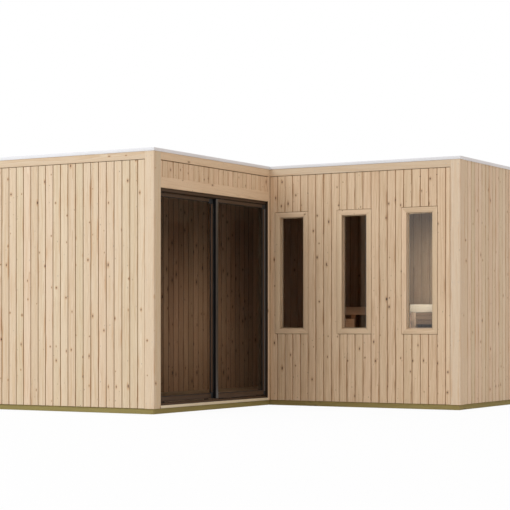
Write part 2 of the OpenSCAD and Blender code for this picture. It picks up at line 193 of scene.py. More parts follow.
class Tree:
    """A small helper that adds nodes to a tree and links them by value."""

    def __init__(self, tree: bpy.types.NodeTree) -> None:
        """Keeps the tree that the nodes go into."""
        self.tree = tree

    def add(self, kind: str, values: dict[str | int, Any] | None = None,
            **settings: Any) -> bpy.types.Node:
        """Adds a node.

        Args:
            kind: The node's type name.
            values: Values or sockets for its inputs, by name or by number.
            **settings: Properties to set on the node before its inputs.

        Returns:
            The new node.
        """
        node = self.tree.nodes.new(kind)
        for name, value in settings.items():
            setattr(node, name, value)
        self.fill(node, values or {})
        return node

    def get(self, kind: str, values: dict[str | int, Any] | None = None, output: int | str | None = None,
            **settings: Any) -> Value:
        """Adds a node and gives one of its outputs, by default the first that is in use."""
        outputs = self.add(kind, values, **settings).outputs
        return Value(self, next(s for s in outputs if s.enabled) if output is None else outputs[output])

    def outputs(self, kind: str, values: dict[str | int, Any] | None = None,
                **settings: Any) -> dict[str, Value]:
        """Adds a node and gives all its outputs by name."""
        return {s.name: Value(self, s) for s in self.add(kind, values, **settings).outputs}

    def fill(self, node: bpy.types.Node, values: dict[str | int, Any]) -> None:
        """Feeds a node's inputs.

        Args:
            node: The node.
            values: Values for its inputs, by name or by number.
        """
        for key, value in values.items():
            if isinstance(key, str):
                self.feed(next(s for s in node.inputs if s.name == key and s.enabled), value)
            else:
                self.feed(node.inputs[key], value)

    def feed(self, socket: bpy.types.NodeSocket, value: Any) -> None:
        """Feeds one input.

        Args:
            socket: The input.
            value: A value or a list of values to link to it, or a number or colour to set on it.
        """
        for source in value if isinstance(value, list) else [value]:
            if isinstance(source, Value):
                self.tree.links.new(source.socket, socket)
            elif socket.type == "RGBA":
                socket.default_value = (*source, 1.0)
            else:
                socket.default_value = source

    def math(self, operation: str, *values: Any) -> Value:
        """Adds a Math node and gives its result."""
        return self.get("ShaderNodeMath", dict(enumerate(values)), operation=operation)

    def most(self, first: Value, *others: Any) -> Value:
        """Finds the largest of some values.

        Args:
            first: A value.
            *others: Other values or numbers.

        Returns:
            The largest.
        """
        for other in others:
            first = self.math("MAXIMUM", first, other)
        return first

    def vector(self, x: Any = 0.0, y: Any = 0.0, z: Any = 0.0) -> Value:
        """Joins three numbers into a vector."""
        return self.get("ShaderNodeCombineXYZ", {0: x, 1: y, 2: z})

    def parts(self, vector: Value) -> tuple[Value, ...]:
        """Splits a vector or a colour into its three numbers."""
        return tuple(self.outputs("ShaderNodeSeparateXYZ", {0: vector}).values())

    def smooth(self, value: Value, start: float, end: float, low: float = 0.0,
               high: float = 1.0) -> Value:
        """Maps a value smoothly from one range to another and gives the result."""
        return self.get("ShaderNodeMapRange", {"Value": value, "From Min": start, "From Max": end,
                                               "To Min": low, "To Max": high},
                        interpolation_type="SMOOTHSTEP")

    def noise(self, vector: Value, scale: Any = 1.0, detail: float = 2.0, rough: float = 0.5) -> Value:
        """Adds a noise texture and gives its value."""
        return self.get("ShaderNodeTexNoise", {"Vector": vector, "Scale": scale, "Detail": detail,
                                               "Roughness": rough})

    def random(self, low: float, high: Any, seed: Value, **number: Value) -> Value:
        """Gives a random number between two limits, for each element or for each ID."""
        return self.get("FunctionNodeRandomValue", {"Min": low, "Max": high, "Seed": seed, **number},
                        data_type="FLOAT")

    def mix(self, factor: Any, a: Any, b: Any, blend: str = "MIX") -> Value:
        """Mixes two colours and gives the result."""
        return self.get("ShaderNodeMix", {"Factor": factor, "A": a, "B": b}, data_type="RGBA",
                        blend_type=blend)

    def seen(self) -> Value:
        """Gives 1 to what is seen, directly, in a reflection or through glass, and 0 to other light."""
        path = self.outputs("ShaderNodeLightPath")
        return self.most(path["Is Camera Ray"], path["Is Glossy Ray"], path["Is Transmission Ray"])

    def surface(self, factor: Value, first: bpy.types.Node, second: Value) -> None:
        """Makes a mix of two shaders the material's surface."""
        both = self.get("ShaderNodeMixShader", {0: factor, 1: Value(self, first.outputs[0]), 2: second})
        self.fill(next(n for n in self.tree.nodes if n.type == "OUTPUT_MATERIAL"), {"Surface": both})

    def give(self, values: dict[str, Value], kind: str) -> bpy.types.NodeTree:
        """Makes and feeds a group's outputs.

        Args:
            values: The outputs' values, by name.
            kind: The socket type of all of them.

        Returns:
            The finished tree.
        """
        for label in values:
            self.tree.interface.new_socket(name=label, in_out="OUTPUT", socket_type=kind)
        self.add("NodeGroupOutput", values)
        return self.tree

    def give_mesh(self, geometry: Value, material: Value) -> bpy.types.NodeTree:
        """Ends a Geometry Nodes tree with real geometry that has one material.

        Args:
            geometry: The geometry.
            material: Its material.

        Returns:
            The finished tree.
        """
        real = self.get("GeometryNodeRealizeInstances", {"Geometry": geometry})
        dressed = self.get("GeometryNodeSetMaterial", {"Geometry": real, "Material": material})
        return self.give({"Geometry": dressed}, MESH)


NUMBER = "NodeSocketFloat"
COUNT = "NodeSocketInt"
MESH = "NodeSocketGeometry"
VECTOR = "NodeSocketVector"
MATERIAL = "NodeSocketMaterial"


def group_tree(name: str, kind: str, inputs: dict[str, tuple[str, Any]]) -> tuple[Tree, dict[str, Value]]:
    """Makes an empty node group with named inputs.

    Args:
        name: The group's name.
        kind: The tree's type.
        inputs: For each input, its socket type and its value, or None for no value.

    Returns:
        The helper for the new group, and the group's inputs by name.
    """
    tree = bpy.data.node_groups.new(name, kind)
    for label, (socket_type, value) in inputs.items():
        socket = tree.interface.new_socket(name=label, in_out="INPUT", socket_type=socket_type)
        if value is not None:
            socket.default_value = value
    t = Tree(tree)
    return t, t.outputs("NodeGroupInput")


def board_tree() -> bpy.types.NodeTree:
    """Builds the tree that lays a row of boards.

    The row runs along X from 0 to Run, its show face is at Y = 0 and its boards stand along Z. The
    object's own mesh is cut out of the boards. Each face keeps its board's random number as
    "board", and each corner keeps its place in the board as "grain".

    Returns:
        The Geometry Nodes tree.
    """
    t, given = group_tree("board_row", "GeometryNodeTree",
                          {"Geometry": (MESH, None), "Run": (NUMBER, 1.0), "Pitch": (NUMBER, 100 * MM),
                           "First": (NUMBER, 100 * MM), "Gap": (NUMBER, 2 * MM),
                           "Length": (NUMBER, 1.0), "Thickness": (NUMBER, 20 * MM),
                           "Rounding": (NUMBER, 2 * MM),
                           "Unevenness": (NUMBER, 0.0), "Cut": ("NodeSocketBool", False),
                           "Seed": (COUNT, 0), "Material": (MATERIAL, None)})
    run, pitch, first, gap = (given[label] for label in ("Run", "Pitch", "First", "Gap"))
    thin_end = 1 * MM  # a last board narrower than this is left out

    def edges_of(index: Value) -> tuple[Value, Value]:
        """Gives the left and right edge of the board with this number, gaps left out."""
        right = first + index * pitch
        return t.most(right - pitch, 0.0), t.math("MINIMUM", right, run)

    def store(geometry: Value, name: str, value: Value, kind: str = "FLOAT",
              domain: str = "FACE") -> Value:
        """Stores a named value on the boards and gives their geometry."""
        return t.get("GeometryNodeStoreNamedAttribute",
                     {"Geometry": geometry, "Name": name, "Value": value}, data_type=kind, domain=domain)

    # one rounded board for each turn of the loop
    start, end = t.add("GeometryNodeRepeatInput"), t.add("GeometryNodeRepeatOutput")
    start.pair_with_output(end)
    t.fill(start, {"Iterations": t.math("CEIL", (run - first - thin_end) / pitch) + 1.0})
    index = Value(t, start.outputs["Iteration"])
    left, right = edges_of(index)
    outline = t.get("GeometryNodeCurvePrimitiveQuadrilateral",
                    {"Width": right - left - gap, "Height": given["Thickness"]}, mode="RECTANGLE")
    rounded = t.add("GeometryNodeFilletCurve", {"Curve": outline, "Radius": given["Rounding"],
                                                "Limit Radius": True}, mode="POLY")
    next(s for s in rounded.inputs if s.name == "Count").default_value = 3
    base = t.get("GeometryNodeFillCurve", {"Curve": Value(t, rounded.outputs[0])}, mode="NGONS")
    body = t.get("GeometryNodeExtrudeMesh", {"Mesh": base, "Offset": t.vector(z=given["Length"]),
                                             "Offset Scale": 1.0, "Individual": False}, mode="FACES")
    under = t.get("GeometryNodeFlipFaces", {"Mesh": base})
    board = t.get("GeometryNodeJoinGeometry", {0: [body, under]})
    closed = t.get("GeometryNodeMergeByDistance", {"Geometry": board, "Distance": 0.01 * MM})
    back = given["Thickness"] * 0.5 + t.random(0.0, given["Unevenness"], given["Seed"], ID=index)
    place = t.vector((left + right) * 0.5, back)
    moved = t.get("GeometryNodeTransform", {"Geometry": closed, "Translation": place})
    laid = Value(t, start.outputs["Geometry"])
    t.fill(end, {"Geometry": t.get("GeometryNodeJoinGeometry", {0: [laid, moved]})})
    row = Value(t, end.outputs["Geometry"])

    cut = t.get("GeometryNodeMeshBoolean", {0: row, 1: given["Geometry"]}, operation="DIFFERENCE",
                solver="EXACT")
    chosen = t.get("GeometryNodeSwitch", {"Switch": given["Cut"], "False": row, "True": cut},
                   input_type="GEOMETRY")

    # the board that each face belongs to, from its place in the row
    x, y, z = t.parts(t.get("GeometryNodeInputPosition"))
    number = t.math("CEIL", (x - first) / pitch)
    left, right = edges_of(number)
    named = store(chosen, "board", t.random(0.0, 1.0, given["Seed"] + 7.0, ID=number))
    named = store(named, "middle", (left + right) * 0.5)
    centre, drawn = (t.get("GeometryNodeInputNamedAttribute", {"Name": name}, data_type="FLOAT")
                     for name in ("middle", "board"))
    grain = t.vector(x - centre, y, z + drawn * GRAIN_SPREAD)
    named = store(named, "grain", grain, "FLOAT_VECTOR", "CORNER")
    return t.give_mesh(named, given["Material"])


def stud_tree() -> bpy.types.NodeTree:
    """Builds the tree that sets a low round head on each vertex of the object's mesh.

    Returns:
        The Geometry Nodes tree.
    """
    t, given = group_tree("studs", "GeometryNodeTree",
                          {"Geometry": (MESH, None), "Radius": (NUMBER, 3 * MM), "Height": (NUMBER, 1 * MM),
                           "Facing": ("NodeSocketRotation", None), "Seed": (COUNT, 0),
                           "Material": (MATERIAL, None)})
    head = t.get("GeometryNodeMeshCone", {"Vertices": 10, "Side Segments": 1, "Fill Segments": 1,
                                          "Radius Top": given["Radius"] * 0.7,
                                          "Radius Bottom": given["Radius"], "Depth": given["Height"]},
                 fill_type="NGON")
    spread = t.get("GeometryNodeInstanceOnPoints",
                   {"Points": given["Geometry"], "Instance": head, "Rotation": given["Facing"],
                    "Scale": t.random(0.92, 1.08, given["Seed"])})
    return t.give_mesh(spread, given["Material"])


# ---------------------------------------------------------------------------------------------
# Shader groups
# ---------------------------------------------------------------------------------------------
def timber_group() -> bpy.types.NodeTree:
    """Builds the group for sawn timber: growth rings, fibre, streaks, stains and knots.

    Grain is the place in the board in metres: X across, Y into it, Z along it. Each board is cut
    out of a trunk of its own, whose centre lies behind the board and wanders along it.

    Returns:
        The shader node group.
    """
    t, given = group_tree("timber", "ShaderNodeTree",
                          {"Grain": (VECTOR, None), "Board": (NUMBER, 0.5),
                           "Ring Width": (NUMBER, 3.5 * MM), "Knot Share": (NUMBER, 0.4),
                           "Knot Radius": (NUMBER, 7 * MM)})
    x, y, z = t.parts(given["Grain"])

    # three draws for each board, which also set its noises apart from other boards', by large factors
    draws = t.get("ShaderNodeTexWhiteNoise", {"W": given["Board"] * 917.0}, "Color",
                  noise_dimensions="1D")
    r1, r2, r3 = t.parts(draws)

    def scatter(cell_x: float, cell_z: float, turn_x: float, turn_z: float) -> tuple[Value, ...]:
        """Finds the nearest of the points that lie one in each cell of a stretched grid.

        Args:
            cell_x: The cells' width across the board.
            cell_z: The cells' length along it.
            turn_x: How far a board's own draw moves the grid across, in cells.
            turn_z: How far it moves the grid along, in cells.

        Returns:
            The offset across, the distance, squashed along the board, and two random draws.
        """
        spot_x, spot_z = x / cell_x + r1 * turn_x, z / cell_z + r2 * turn_z
        cells = t.outputs("ShaderNodeTexVoronoi", {"Vector": t.vector(spot_x, spot_z), "Scale": 1.0,
                                                   "Randomness": 0.9}, voronoi_dimensions="2D")
        point_x, point_z, _ = t.parts(cells["Position"])
        chance, size, length = t.parts(cells["Color"])
        dx, dz = (spot_x - point_x) * cell_x, (spot_z - point_z) * cell_z
        squash = length * length * 0.6 + 0.18
        return dx, t.math("SQRT", dx * dx + dz * dz * squash), chance, size

    # pin knots: small and pale, many to a board
    _, far, chance, size = scatter(45 * MM, 110 * MM, 19.0, 29.0)
    pin = t.smooth(far / (size * (2 * MM) + 1.8 * MM), 1.1, 0.6)
    pin = pin * t.math("LESS_THAN", chance, given["Knot Share"] * 0.5)

    # knots: one chance in each cell, with a dark heart and a halo
    dx, far, chance, size = scatter(85 * MM, 210 * MM, 37.0, 53.0)
    ragged = t.noise(given["Grain"], 260.0) * 0.3 + 0.85
    near = far * ragged / (given["Knot Radius"] * (size + 0.35))
    here = t.math("LESS_THAN", chance, given["Knot Share"])
    knot, heart, halo = (t.smooth(near, rim, core) * here
                         for rim, core in ((1.05, 0.8), (0.55, 0.2), (3.2, 0.9)))
    dark = t.most(knot * 0.85 + heart * 0.15, pin * 0.7)

    # rings of the trunk, drawn aside round each knot; the trunk's centre lies up to 50 mm to one
    # side and 20 to 110 mm behind the show face, and wanders along the board
    wander = t.noise(t.vector(z * 0.5, r3 * 61.0), detail=1.0)
    across = x - ((r1 - 0.5) * (100 * MM) + (wander - 0.5) * (160 * MM)) - dx * halo * 0.8
    behind = y - (r2 * (90 * MM) + 20 * MM)
    ripple = t.noise(t.vector(x * 14.0, y * 14.0, z * 2.2)) * (9 * MM)
    trunk = t.math("SQRT", across * across + behind * behind) + ripple
    phase = t.math("FRACT", trunk / given["Ring Width"])
    rings = t.math("POWER", phase, 2.5) * t.smooth(phase, 1.0, 0.93)

    # fine fibre, broad streaks and resin stains near the board's edges
    fibre = t.noise(t.vector(x * 900.0, y * 900.0, z * 14.0), detail=3.0, rough=0.6)
    streak = t.noise(t.vector(across * 62.0, r3 * 29.0, z * 2.2), detail=3.0, rough=0.6)
    resin = t.noise(t.vector(x * 45.0, r1 * 31.0, z * 2.8))
    stain = t.smooth(resin, 0.53, 0.72) * t.smooth(t.math("ABSOLUTE", x), 20 * MM, 40 * MM, 0.25, 1.0)
    height = fibre * 0.35 - rings * 0.5 - knot * 0.4
    return t.give({"Rings": rings, "Fibre": fibre, "Streak": streak, "Stain": stain, "Knot": dark,
                   "Halo": halo, "Tone": r3, "Hue": r2, "Height": height}, NUMBER)


def dust_group() -> bpy.types.NodeTree:
    """Builds the group for uneven dust and handling marks on metal, glass edges and felt.

    Returns:
        The shader node group.
    """
    t, given = group_tree("dust", "ShaderNodeTree",
                          {"Place": (VECTOR, None), "Scale": (NUMBER, 6.0), "Amount": (NUMBER, 0.3)})
    broad = t.noise(given["Place"], given["Scale"], 4.0, 0.6)
    fine = t.noise(given["Place"], given["Scale"] * 60.0, 3.0, 0.7)
    return t.give({"Dust": t.smooth(broad, 0.35, 0.75) * given["Amount"], "Speckle": fine,
                   "Height": fine * 0.7 + broad * 0.3}, NUMBER)


# ---------------------------------------------------------------------------------------------
# Finishes
# ---------------------------------------------------------------------------------------------
class Grain(Enum):
    """Where a wood material finds its place in the board."""

    STORED = "stored on the mesh"
    ALONG_Y = "y"
    ALONG_Z = "z"


class Groups:
    """The shared node groups, each built once."""

    timber: bpy.types.NodeTree = timber_group()
    dust: bpy.types.NodeTree = dust_group()
    boards: bpy.types.NodeTree = board_tree()
    studs: bpy.types.NodeTree = stud_tree()


def new_material(name: str) -> tuple[bpy.types.Material, Tree, bpy.types.Node]:
    """Makes an empty material with a Principled shader.

    Args:
        name: The material's name.

    Returns:
        The material, the helper for its tree, and its Principled shader.
    """
    material = bpy.data.materials.new(name)
    material.use_nodes = True
    material.node_tree.nodes.clear()
    t = Tree(material.node_tree)
    shader = t.add("ShaderNodeBsdfPrincipled")
    t.add("ShaderNodeOutputMaterial", {"Surface": Value(t, shader.outputs[0])})
    return material, t, shader


def dust_on(t: Tree, scale: float, amount: float) -> dict[str, Value]:
    """Adds the dust group to a material and gives its outputs by name."""
    place = t.get("ShaderNodeTexCoord", output="Object")
    return t.outputs("ShaderNodeGroup", {"Place": place, "Scale": scale, "Amount": amount},
                     node_tree=Groups.dust)


@dataclass(frozen=True)
class WoodFinish:
    """Planed or sawn wood.

    Attributes:
        name: The finish's name.
        light: Colour of the pale early wood.
        dark: Colour of the ring lines.
        warm: Colour of the broad streaks.
        knot: Colour of the knots.
        halo: Colour of the wood round a knot.
        ring_contrast: How strongly the ring lines show.
        streak_share: How strongly the broad streaks show.
        stain_share: How strongly the resin stains near the boards' edges show.
        groove: Colour that tints the boards' sides inside the joints, painted shade for the shade that
            falls there.
        tone_spread: How much the boards differ in brightness.
        hue_spread: How much the boards differ between pinkish and greenish, and in yellowness.
        knot_share: Share of the cells that hold a knot.
        knot_radius: Middle radius of a knot, in metres.
        roughness: The surface's roughness.
        bump: Depth of the grain's relief, in metres.
    """

    name: str
    light: Colour
    dark: Colour
    warm: Colour
    knot: Colour
    halo: Colour
    ring_contrast: float = 0.55
    streak_share: float = 0.45
    stain_share: float = 0.5
    groove: Colour = (1.0, 1.0, 1.0)
    tone_spread: float = 0.14
    hue_spread: float = 0.024
    knot_share: float = 0.30
    knot_radius: float = 5.2 * MM
    roughness: float = 0.62
    bump: float = 0.3 * MM

    @cache
    def material(self, grain: Grain = Grain.STORED) -> bpy.types.Material:
        """Makes the material, once for each way to find the grain.

        Args:
            grain: Where the material finds its place in the board.

        Returns:
            The material.
        """
        material, t, shader = new_material(f"{self.name}_{grain.name.lower()}")
        if grain is Grain.STORED:
            place = t.get("ShaderNodeAttribute", output="Vector", attribute_name="grain")
            board = t.get("ShaderNodeAttribute", output="Fac", attribute_name="board")
        else:
            x, y, z = t.parts(t.get("ShaderNodeTexCoord", output="Object"))
            place = t.vector(x, z, y) if grain is Grain.ALONG_Y else t.vector(x, y, z)
            board = PANEL_DRAW
        wood = t.outputs("ShaderNodeGroup",
                         {"Grain": place, "Board": board, "Knot Share": self.knot_share,
                          "Knot Radius": self.knot_radius}, node_tree=Groups.timber)
        colour = t.mix(wood["Rings"] * self.ring_contrast, self.light, self.dark)
        colour = t.mix(t.smooth(wood["Streak"], 0.42, 0.72) * self.streak_share, colour, self.warm)
        colour = t.mix(wood["Stain"] * self.stain_share, colour, self.halo)
        tone = wood["Tone"] * self.tone_spread + (1.0 - self.tone_spread * 0.5)
        shade = t.smooth(wood["Fibre"], 0.25, 0.75, 0.90, 1.07) * tone
        hue = (wood["Hue"] - 0.5) * self.hue_spread
        yellow = (wood["Tone"] - 0.5) * (self.hue_spread * 2.0)
        cast = t.get("ShaderNodeCombineColor", {0: shade * (hue + 1.0), 1: shade * (1.0 - hue),
                                                2: shade * (yellow + 1.0)})
        colour = t.mix(1.0, colour, cast, "MULTIPLY")
        colour = t.mix(wood["Halo"] * 0.55, colour, self.halo)
        colour = t.mix(wood["Knot"], colour, self.knot)
        # painted shade: the boards' sides inside the joints take the groove colour, standing for the shade
        # in the joints
        side = t.smooth(t.parts(place)[1], 1.2 * MM, 3.5 * MM)
        colour = t.mix(side, colour, t.mix(1.0, colour, self.groove, "MULTIPLY"))
        rough = wood["Fibre"] * 0.14 + self.roughness - wood["Knot"] * 0.2
        relief = t.get("ShaderNodeBump", {"Strength": 0.6, "Distance": self.bump,
                                          "Height": wood["Height"]})
        t.fill(shader, {"Base Color": colour, "Roughness": rough, "Normal": relief})
        return material


@dataclass(frozen=True)
class CoatedFinish:
    """Painted or powder-coated metal, rubber or felt, with uneven dust.

    Attributes:
        name: The finish's name.
        colour: Colour of the clean surface.
        dusty: Colour of the dust.
        dust: Share of dust.
        roughness: Roughness of the clean surface.
        metallic: How metallic the surface is.
        gloss: How strongly the surface reflects, 0.5 for plain paint.
        speckle: How strongly fine grains change the colour.
        bump: Depth of the surface's relief, in metres.
        scale: Number of dust clouds in a metre.
    """

    name: str
    colour: Colour
    dusty: Colour
    dust: float = 0.2
    roughness: float = 0.4
    metallic: float = 0.0
    gloss: float = 0.5
    speckle: float = 0.1
    bump: float = 0.05 * MM
    scale: float = 6.0

    @cache
    def material(self) -> bpy.types.Material:
        """Makes the material, once.

        Returns:
            The material.
        """
        material, t, shader = new_material(f"{self.name}_finish")
        dust = dust_on(t, self.scale, self.dust)
        shade = t.smooth(dust["Speckle"], 0.3, 0.7, 1.0 - self.speckle, 1.0 + self.speckle)
        grey = t.get("ShaderNodeCombineColor", {0: shade, 1: shade, 2: shade})
        colour = t.mix(dust["Dust"], t.mix(1.0, self.colour, grey, "MULTIPLY"), self.dusty)
        rough = dust["Dust"] * 0.4 + self.roughness + dust["Speckle"] * 0.05
        relief = t.get("ShaderNodeBump", {"Strength": 0.5, "Distance": self.bump,
                                          "Height": dust["Height"]})
        t.fill(shader, {"Base Color": colour, "Metallic": self.metallic, "Specular IOR Level": self.gloss,
                        "Roughness": rough, "Normal": relief})
        return material


@dataclass(frozen=True)
class GlassFinish:
    """Clear window glass that lets light into the room.

    Attributes:
        name: The finish's name.
        tint: Colour of the glass.
        ior: Index of refraction, which sets how strongly the pane mirrors its surroundings.
        dusty: Colour of the dust.
        dust: Share of dust.
        scale: Number of dust clouds in a metre.
    """

    name: str
    tint: Colour
    ior: float = 1.5
    dusty: Colour = (0.8, 0.8, 0.78)
    dust: float = 0.02
    scale: float = 3.0

    @cache
    def material(self) -> bpy.types.Material:
        """Makes the material, once.

        Returns:
            The material.
        """
        material, t, shader = new_material(f"{self.name}_finish")
        dust = dust_on(t, self.scale, self.dust)["Dust"]
        t.fill(shader, {"Base Color": t.mix(dust, self.tint, self.dusty), "Roughness": dust,
                        "Transmission Weight": 1.0, "IOR": self.ior})
        path = t.outputs("ShaderNodeLightPath")
        clear = t.get("ShaderNodeBsdfTransparent", {"Color": self.tint})
        t.surface(t.most(path["Is Shadow Ray"], path["Is Diffuse Ray"]), shader, clear)
        return material


PLAIN = (1.0, 1.0, 1.0)
# the groove colours below are painted shade on the boards' sides inside the joints
PINE = WoodFinish("pine_outside", light=(0.722, 0.578, 0.405), dark=(0.50, 0.315, 0.165),
                  warm=(0.61, 0.43, 0.25), knot=(0.07, 0.032, 0.014), halo=(0.48, 0.24, 0.09),
                  groove=(0.62, 0.44, 0.24), stain_share=0.70, streak_share=0.55, knot_share=0.34,
                  knot_radius=5.6 * MM, tone_spread=0.11, hue_spread=0.03)
TRIM_PINE = replace(PINE, name="pine_trim", light=(0.695, 0.565, 0.395), knot_share=0.14,
                    stain_share=0.3, groove=PLAIN)
# a warmer, more saturated copy of the pine for the wing front and the wall over the door: more streaks and
# stains, and painted light for the warm light that the boards throw on each other in the shade near the
# inner corner
STAINED_AND_BOUNCE_PAINTED_PINE = replace(PINE, name="pine_warm", light=(0.735, 0.553, 0.362), warm=(0.60, 0.41, 0.245),
                    halo=(0.43, 0.245, 0.12), streak_share=0.85, stain_share=0.95, knot_share=0.40,
                    knot_radius=5.9 * MM, groove=(1.0, 0.90, 0.78), tone_spread=0.10, hue_spread=0.012)
# the trim copy keeps that painted warm light without the extra stains
BOUNCE_PAINTED_TRIM = replace(STAINED_AND_BOUNCE_PAINTED_PINE, name="pine_trim_warm", knot_share=0.14, stain_share=0.3, streak_share=0.5,
                    groove=PLAIN)
# a paler copy of the trim wood for the door sill: painted light, for the sky light that its rounded top
# catches
PAINTED_LIGHT_SILL_PINE = replace(TRIM_PINE, name="pine_sill", light=(0.88, 0.78, 0.58), warm=(0.82, 0.69, 0.48))
# paler and darker copies of the reveal wood: painted light in the right window, painted shade in the other
# two
PAINTED_LIGHT_REVEAL_PINE = replace(TRIM_PINE, name="pine_reveal_pale", light=(0.95, 0.82, 0.64),
                           warm=(0.86, 0.70, 0.50))
PAINTED_SHADE_REVEAL_PINE = replace(BOUNCE_PAINTED_TRIM, name="pine_reveal", light=(0.54, 0.37, 0.235), warm=(0.45, 0.28, 0.155))
# the lining's dark groove colour is painted shade inside its joints
LINING = WoodFinish("lining_boards", light=(0.56, 0.335, 0.202), dark=(0.34, 0.17, 0.085),
                    warm=(0.43, 0.22, 0.115), knot=(0.04, 0.018, 0.010), halo=(0.28, 0.125, 0.055),
                    streak_share=0.6, tone_spread=0.4, groove=(0.20, 0.13, 0.09), knot_share=0.42,
                    knot_radius=8 * MM)
CALM_LINING = replace(LINING, name="lining_calm", light=(0.485, 0.315, 0.188), dark=(0.30, 0.165, 0.085),
                      warm=(0.375, 0.21, 0.115), tone_spread=0.10, hue_spread=0.01, knot_share=0.1)
FLOOR = WoodFinish("floor_boards", light=(0.56, 0.41, 0.27), dark=(0.36, 0.22, 0.12),
                   warm=(0.46, 0.30, 0.18), knot=(0.06, 0.03, 0.016), halo=(0.30, 0.17, 0.09),
                   roughness=0.5)
BENCH = WoodFinish("bench_wood", light=(0.85, 0.675, 0.50), dark=(0.66, 0.47, 0.29),
                   warm=(0.76, 0.57, 0.36), knot=(0.14, 0.07, 0.035), halo=(0.55, 0.35, 0.18),
                   knot_share=0.06, roughness=0.5)
# darker and paler copies of the bench wood: painted shade on the skirt boards and the far posts, painted
# light on the posts beside the right bench
PAINTED_SHADE_BENCH = replace(BENCH, name="bench_skirt", light=(0.42, 0.25, 0.145), dark=(0.29, 0.16, 0.085),
                warm=(0.34, 0.20, 0.11))
PAINTED_LIGHT_LEG = replace(BENCH, name="bench_leg", light=(0.92, 0.61, 0.415), dark=(0.70, 0.40, 0.245),
              warm=(0.83, 0.50, 0.305))
TREATED = WoodFinish("treated_timber", light=(0.33, 0.265, 0.085), dark=(0.17, 0.135, 0.042),
                     warm=(0.24, 0.18, 0.058), knot=(0.07, 0.05, 0.02), halo=(0.17, 0.12, 0.045),
                     knot_radius=8 * MM, bump=0.6 * MM, roughness=0.75)
FRAMING = WoodFinish("framing_timber", light=(0.26, 0.15, 0.06), dark=(0.14, 0.075, 0.03),
                     warm=(0.18, 0.10, 0.04), knot=(0.05, 0.03, 0.015), halo=(0.12, 0.065, 0.03),
                     roughness=0.8)
GREY_METAL = CoatedFinish("grey_metal", (0.140, 0.134, 0.130), (0.17, 0.16, 0.15), dust=0.10,
                          roughness=0.34, metallic=0.2)
# a dim brownish copy of the grey plate: painted shade on the stiles nearer the front
PAINTED_SHADE_GREY_METAL = replace(GREY_METAL, name="warm_grey_metal", colour=(0.052, 0.043, 0.036))
BROWN_METAL = CoatedFinish("brown_metal", (0.082, 0.050, 0.030), (0.15, 0.10, 0.07), dust=0.12,
                           roughness=0.42, gloss=0.12, speckle=0.12)
DARK_METAL = replace(BROWN_METAL, name="dark_metal", colour=(0.030, 0.019, 0.012))
# a paler copy of the brown metal: painted light on the far stile of the left leaf
PAINTED_LIGHT_BROWN_METAL = replace(BROWN_METAL, name="tan_metal", colour=(0.20, 0.110, 0.065))
# black for the cores of the near stiles: painted shade on their sides
PAINTED_SHADE_BLACK_METAL = CoatedFinish("black_metal", (0.008, 0.008, 0.009), (0.05, 0.045, 0.04), dust=0.06,
                           roughness=0.45, gloss=0.12, speckle=0.12)
BLACK_RUBBER = CoatedFinish("black_rubber", (0.012, 0.012, 0.012), (0.08, 0.075, 0.07), dust=0.15,
                            roughness=0.7, speckle=0.2)
STEEL = CoatedFinish("screw_steel", (0.46, 0.45, 0.43), (0.36, 0.33, 0.29), dust=0.3, roughness=0.35,
                     metallic=0.9)
WHITE = CoatedFinish("white_flashing", (0.74, 0.74, 0.745), (0.50, 0.48, 0.44), dust=0.12,
                     roughness=0.42, speckle=0.02, scale=3.0)
FELT = CoatedFinish("roofing_felt", (0.085, 0.088, 0.095), (0.20, 0.19, 0.17), dust=0.35, roughness=0.9,
                    speckle=0.45, bump=0.8 * MM, scale=4.0)
DOOR_GLASS = GlassFinish("door_glass", (0.90, 0.93, 0.92), ior=1.12)
WINDOW_GLASS = GlassFinish("window_glass", (0.96, 0.97, 0.97), ior=1.42)


# ---------------------------------------------------------------------------------------------
# Making pieces
# ---------------------------------------------------------------------------------------------
class Seeds:
    """Hands out a new seed for each row of boards or screws, always in the same order."""

    last: int = 0

    @classmethod
    def draw(cls) -> int:
        """Gives the next seed."""
        cls.last += 1
        return cls.last


def link(name: str, mesh: bpy.types.Mesh) -> bpy.types.Object:
    """Puts a mesh into the scene.

    Args:
        name: The new object's name.
        mesh: The mesh.

    Returns:
        The new object, at the origin.
    """
    piece = bpy.data.objects.new(name, mesh)
    bpy.context.scene.collection.objects.link(piece)
    return piece


def run_tree(name: str, start: bpy.types.Mesh, tree: bpy.types.NodeTree,
             values: dict[str, Any]) -> bpy.types.Mesh:
    """Runs a Geometry Nodes tree on a mesh and keeps the result as a plain mesh.

    Args:
        name: The new mesh's name.
        start: The mesh that the tree reads.
        tree: The Geometry Nodes tree.
        values: The values of its inputs, by name.

    Returns:
        The plain mesh.
    """
    start.materials.append(values["Material"])
    holder = link(f"{name}_holder", start)
    modifier = holder.modifiers.new(tree.name, "NODES")
    modifier.node_group = tree
    for socket in tree.interface.items_tree:
        if socket.item_type == "SOCKET" and socket.in_out == "INPUT" and socket.name in values:
            modifier[socket.identifier] = values[socket.name]
    graph = bpy.context.evaluated_depsgraph_get()
    mesh = bpy.data.meshes.new_from_object(holder.evaluated_get(graph), preserve_all_data_layers=True,
                                           depsgraph=graph)
    mesh.name = name
    holder.modifiers.clear()
    bpy.data.objects.remove(holder)
    return mesh


def soften(mesh: bpy.types.Mesh, angle: float) -> None:
    """Shades a mesh smoothly, with sharp edges where its faces meet at more than the angle."""
    mesh.shade_smooth()
    mesh.set_sharp_from_angle(angle=math.radians(angle))


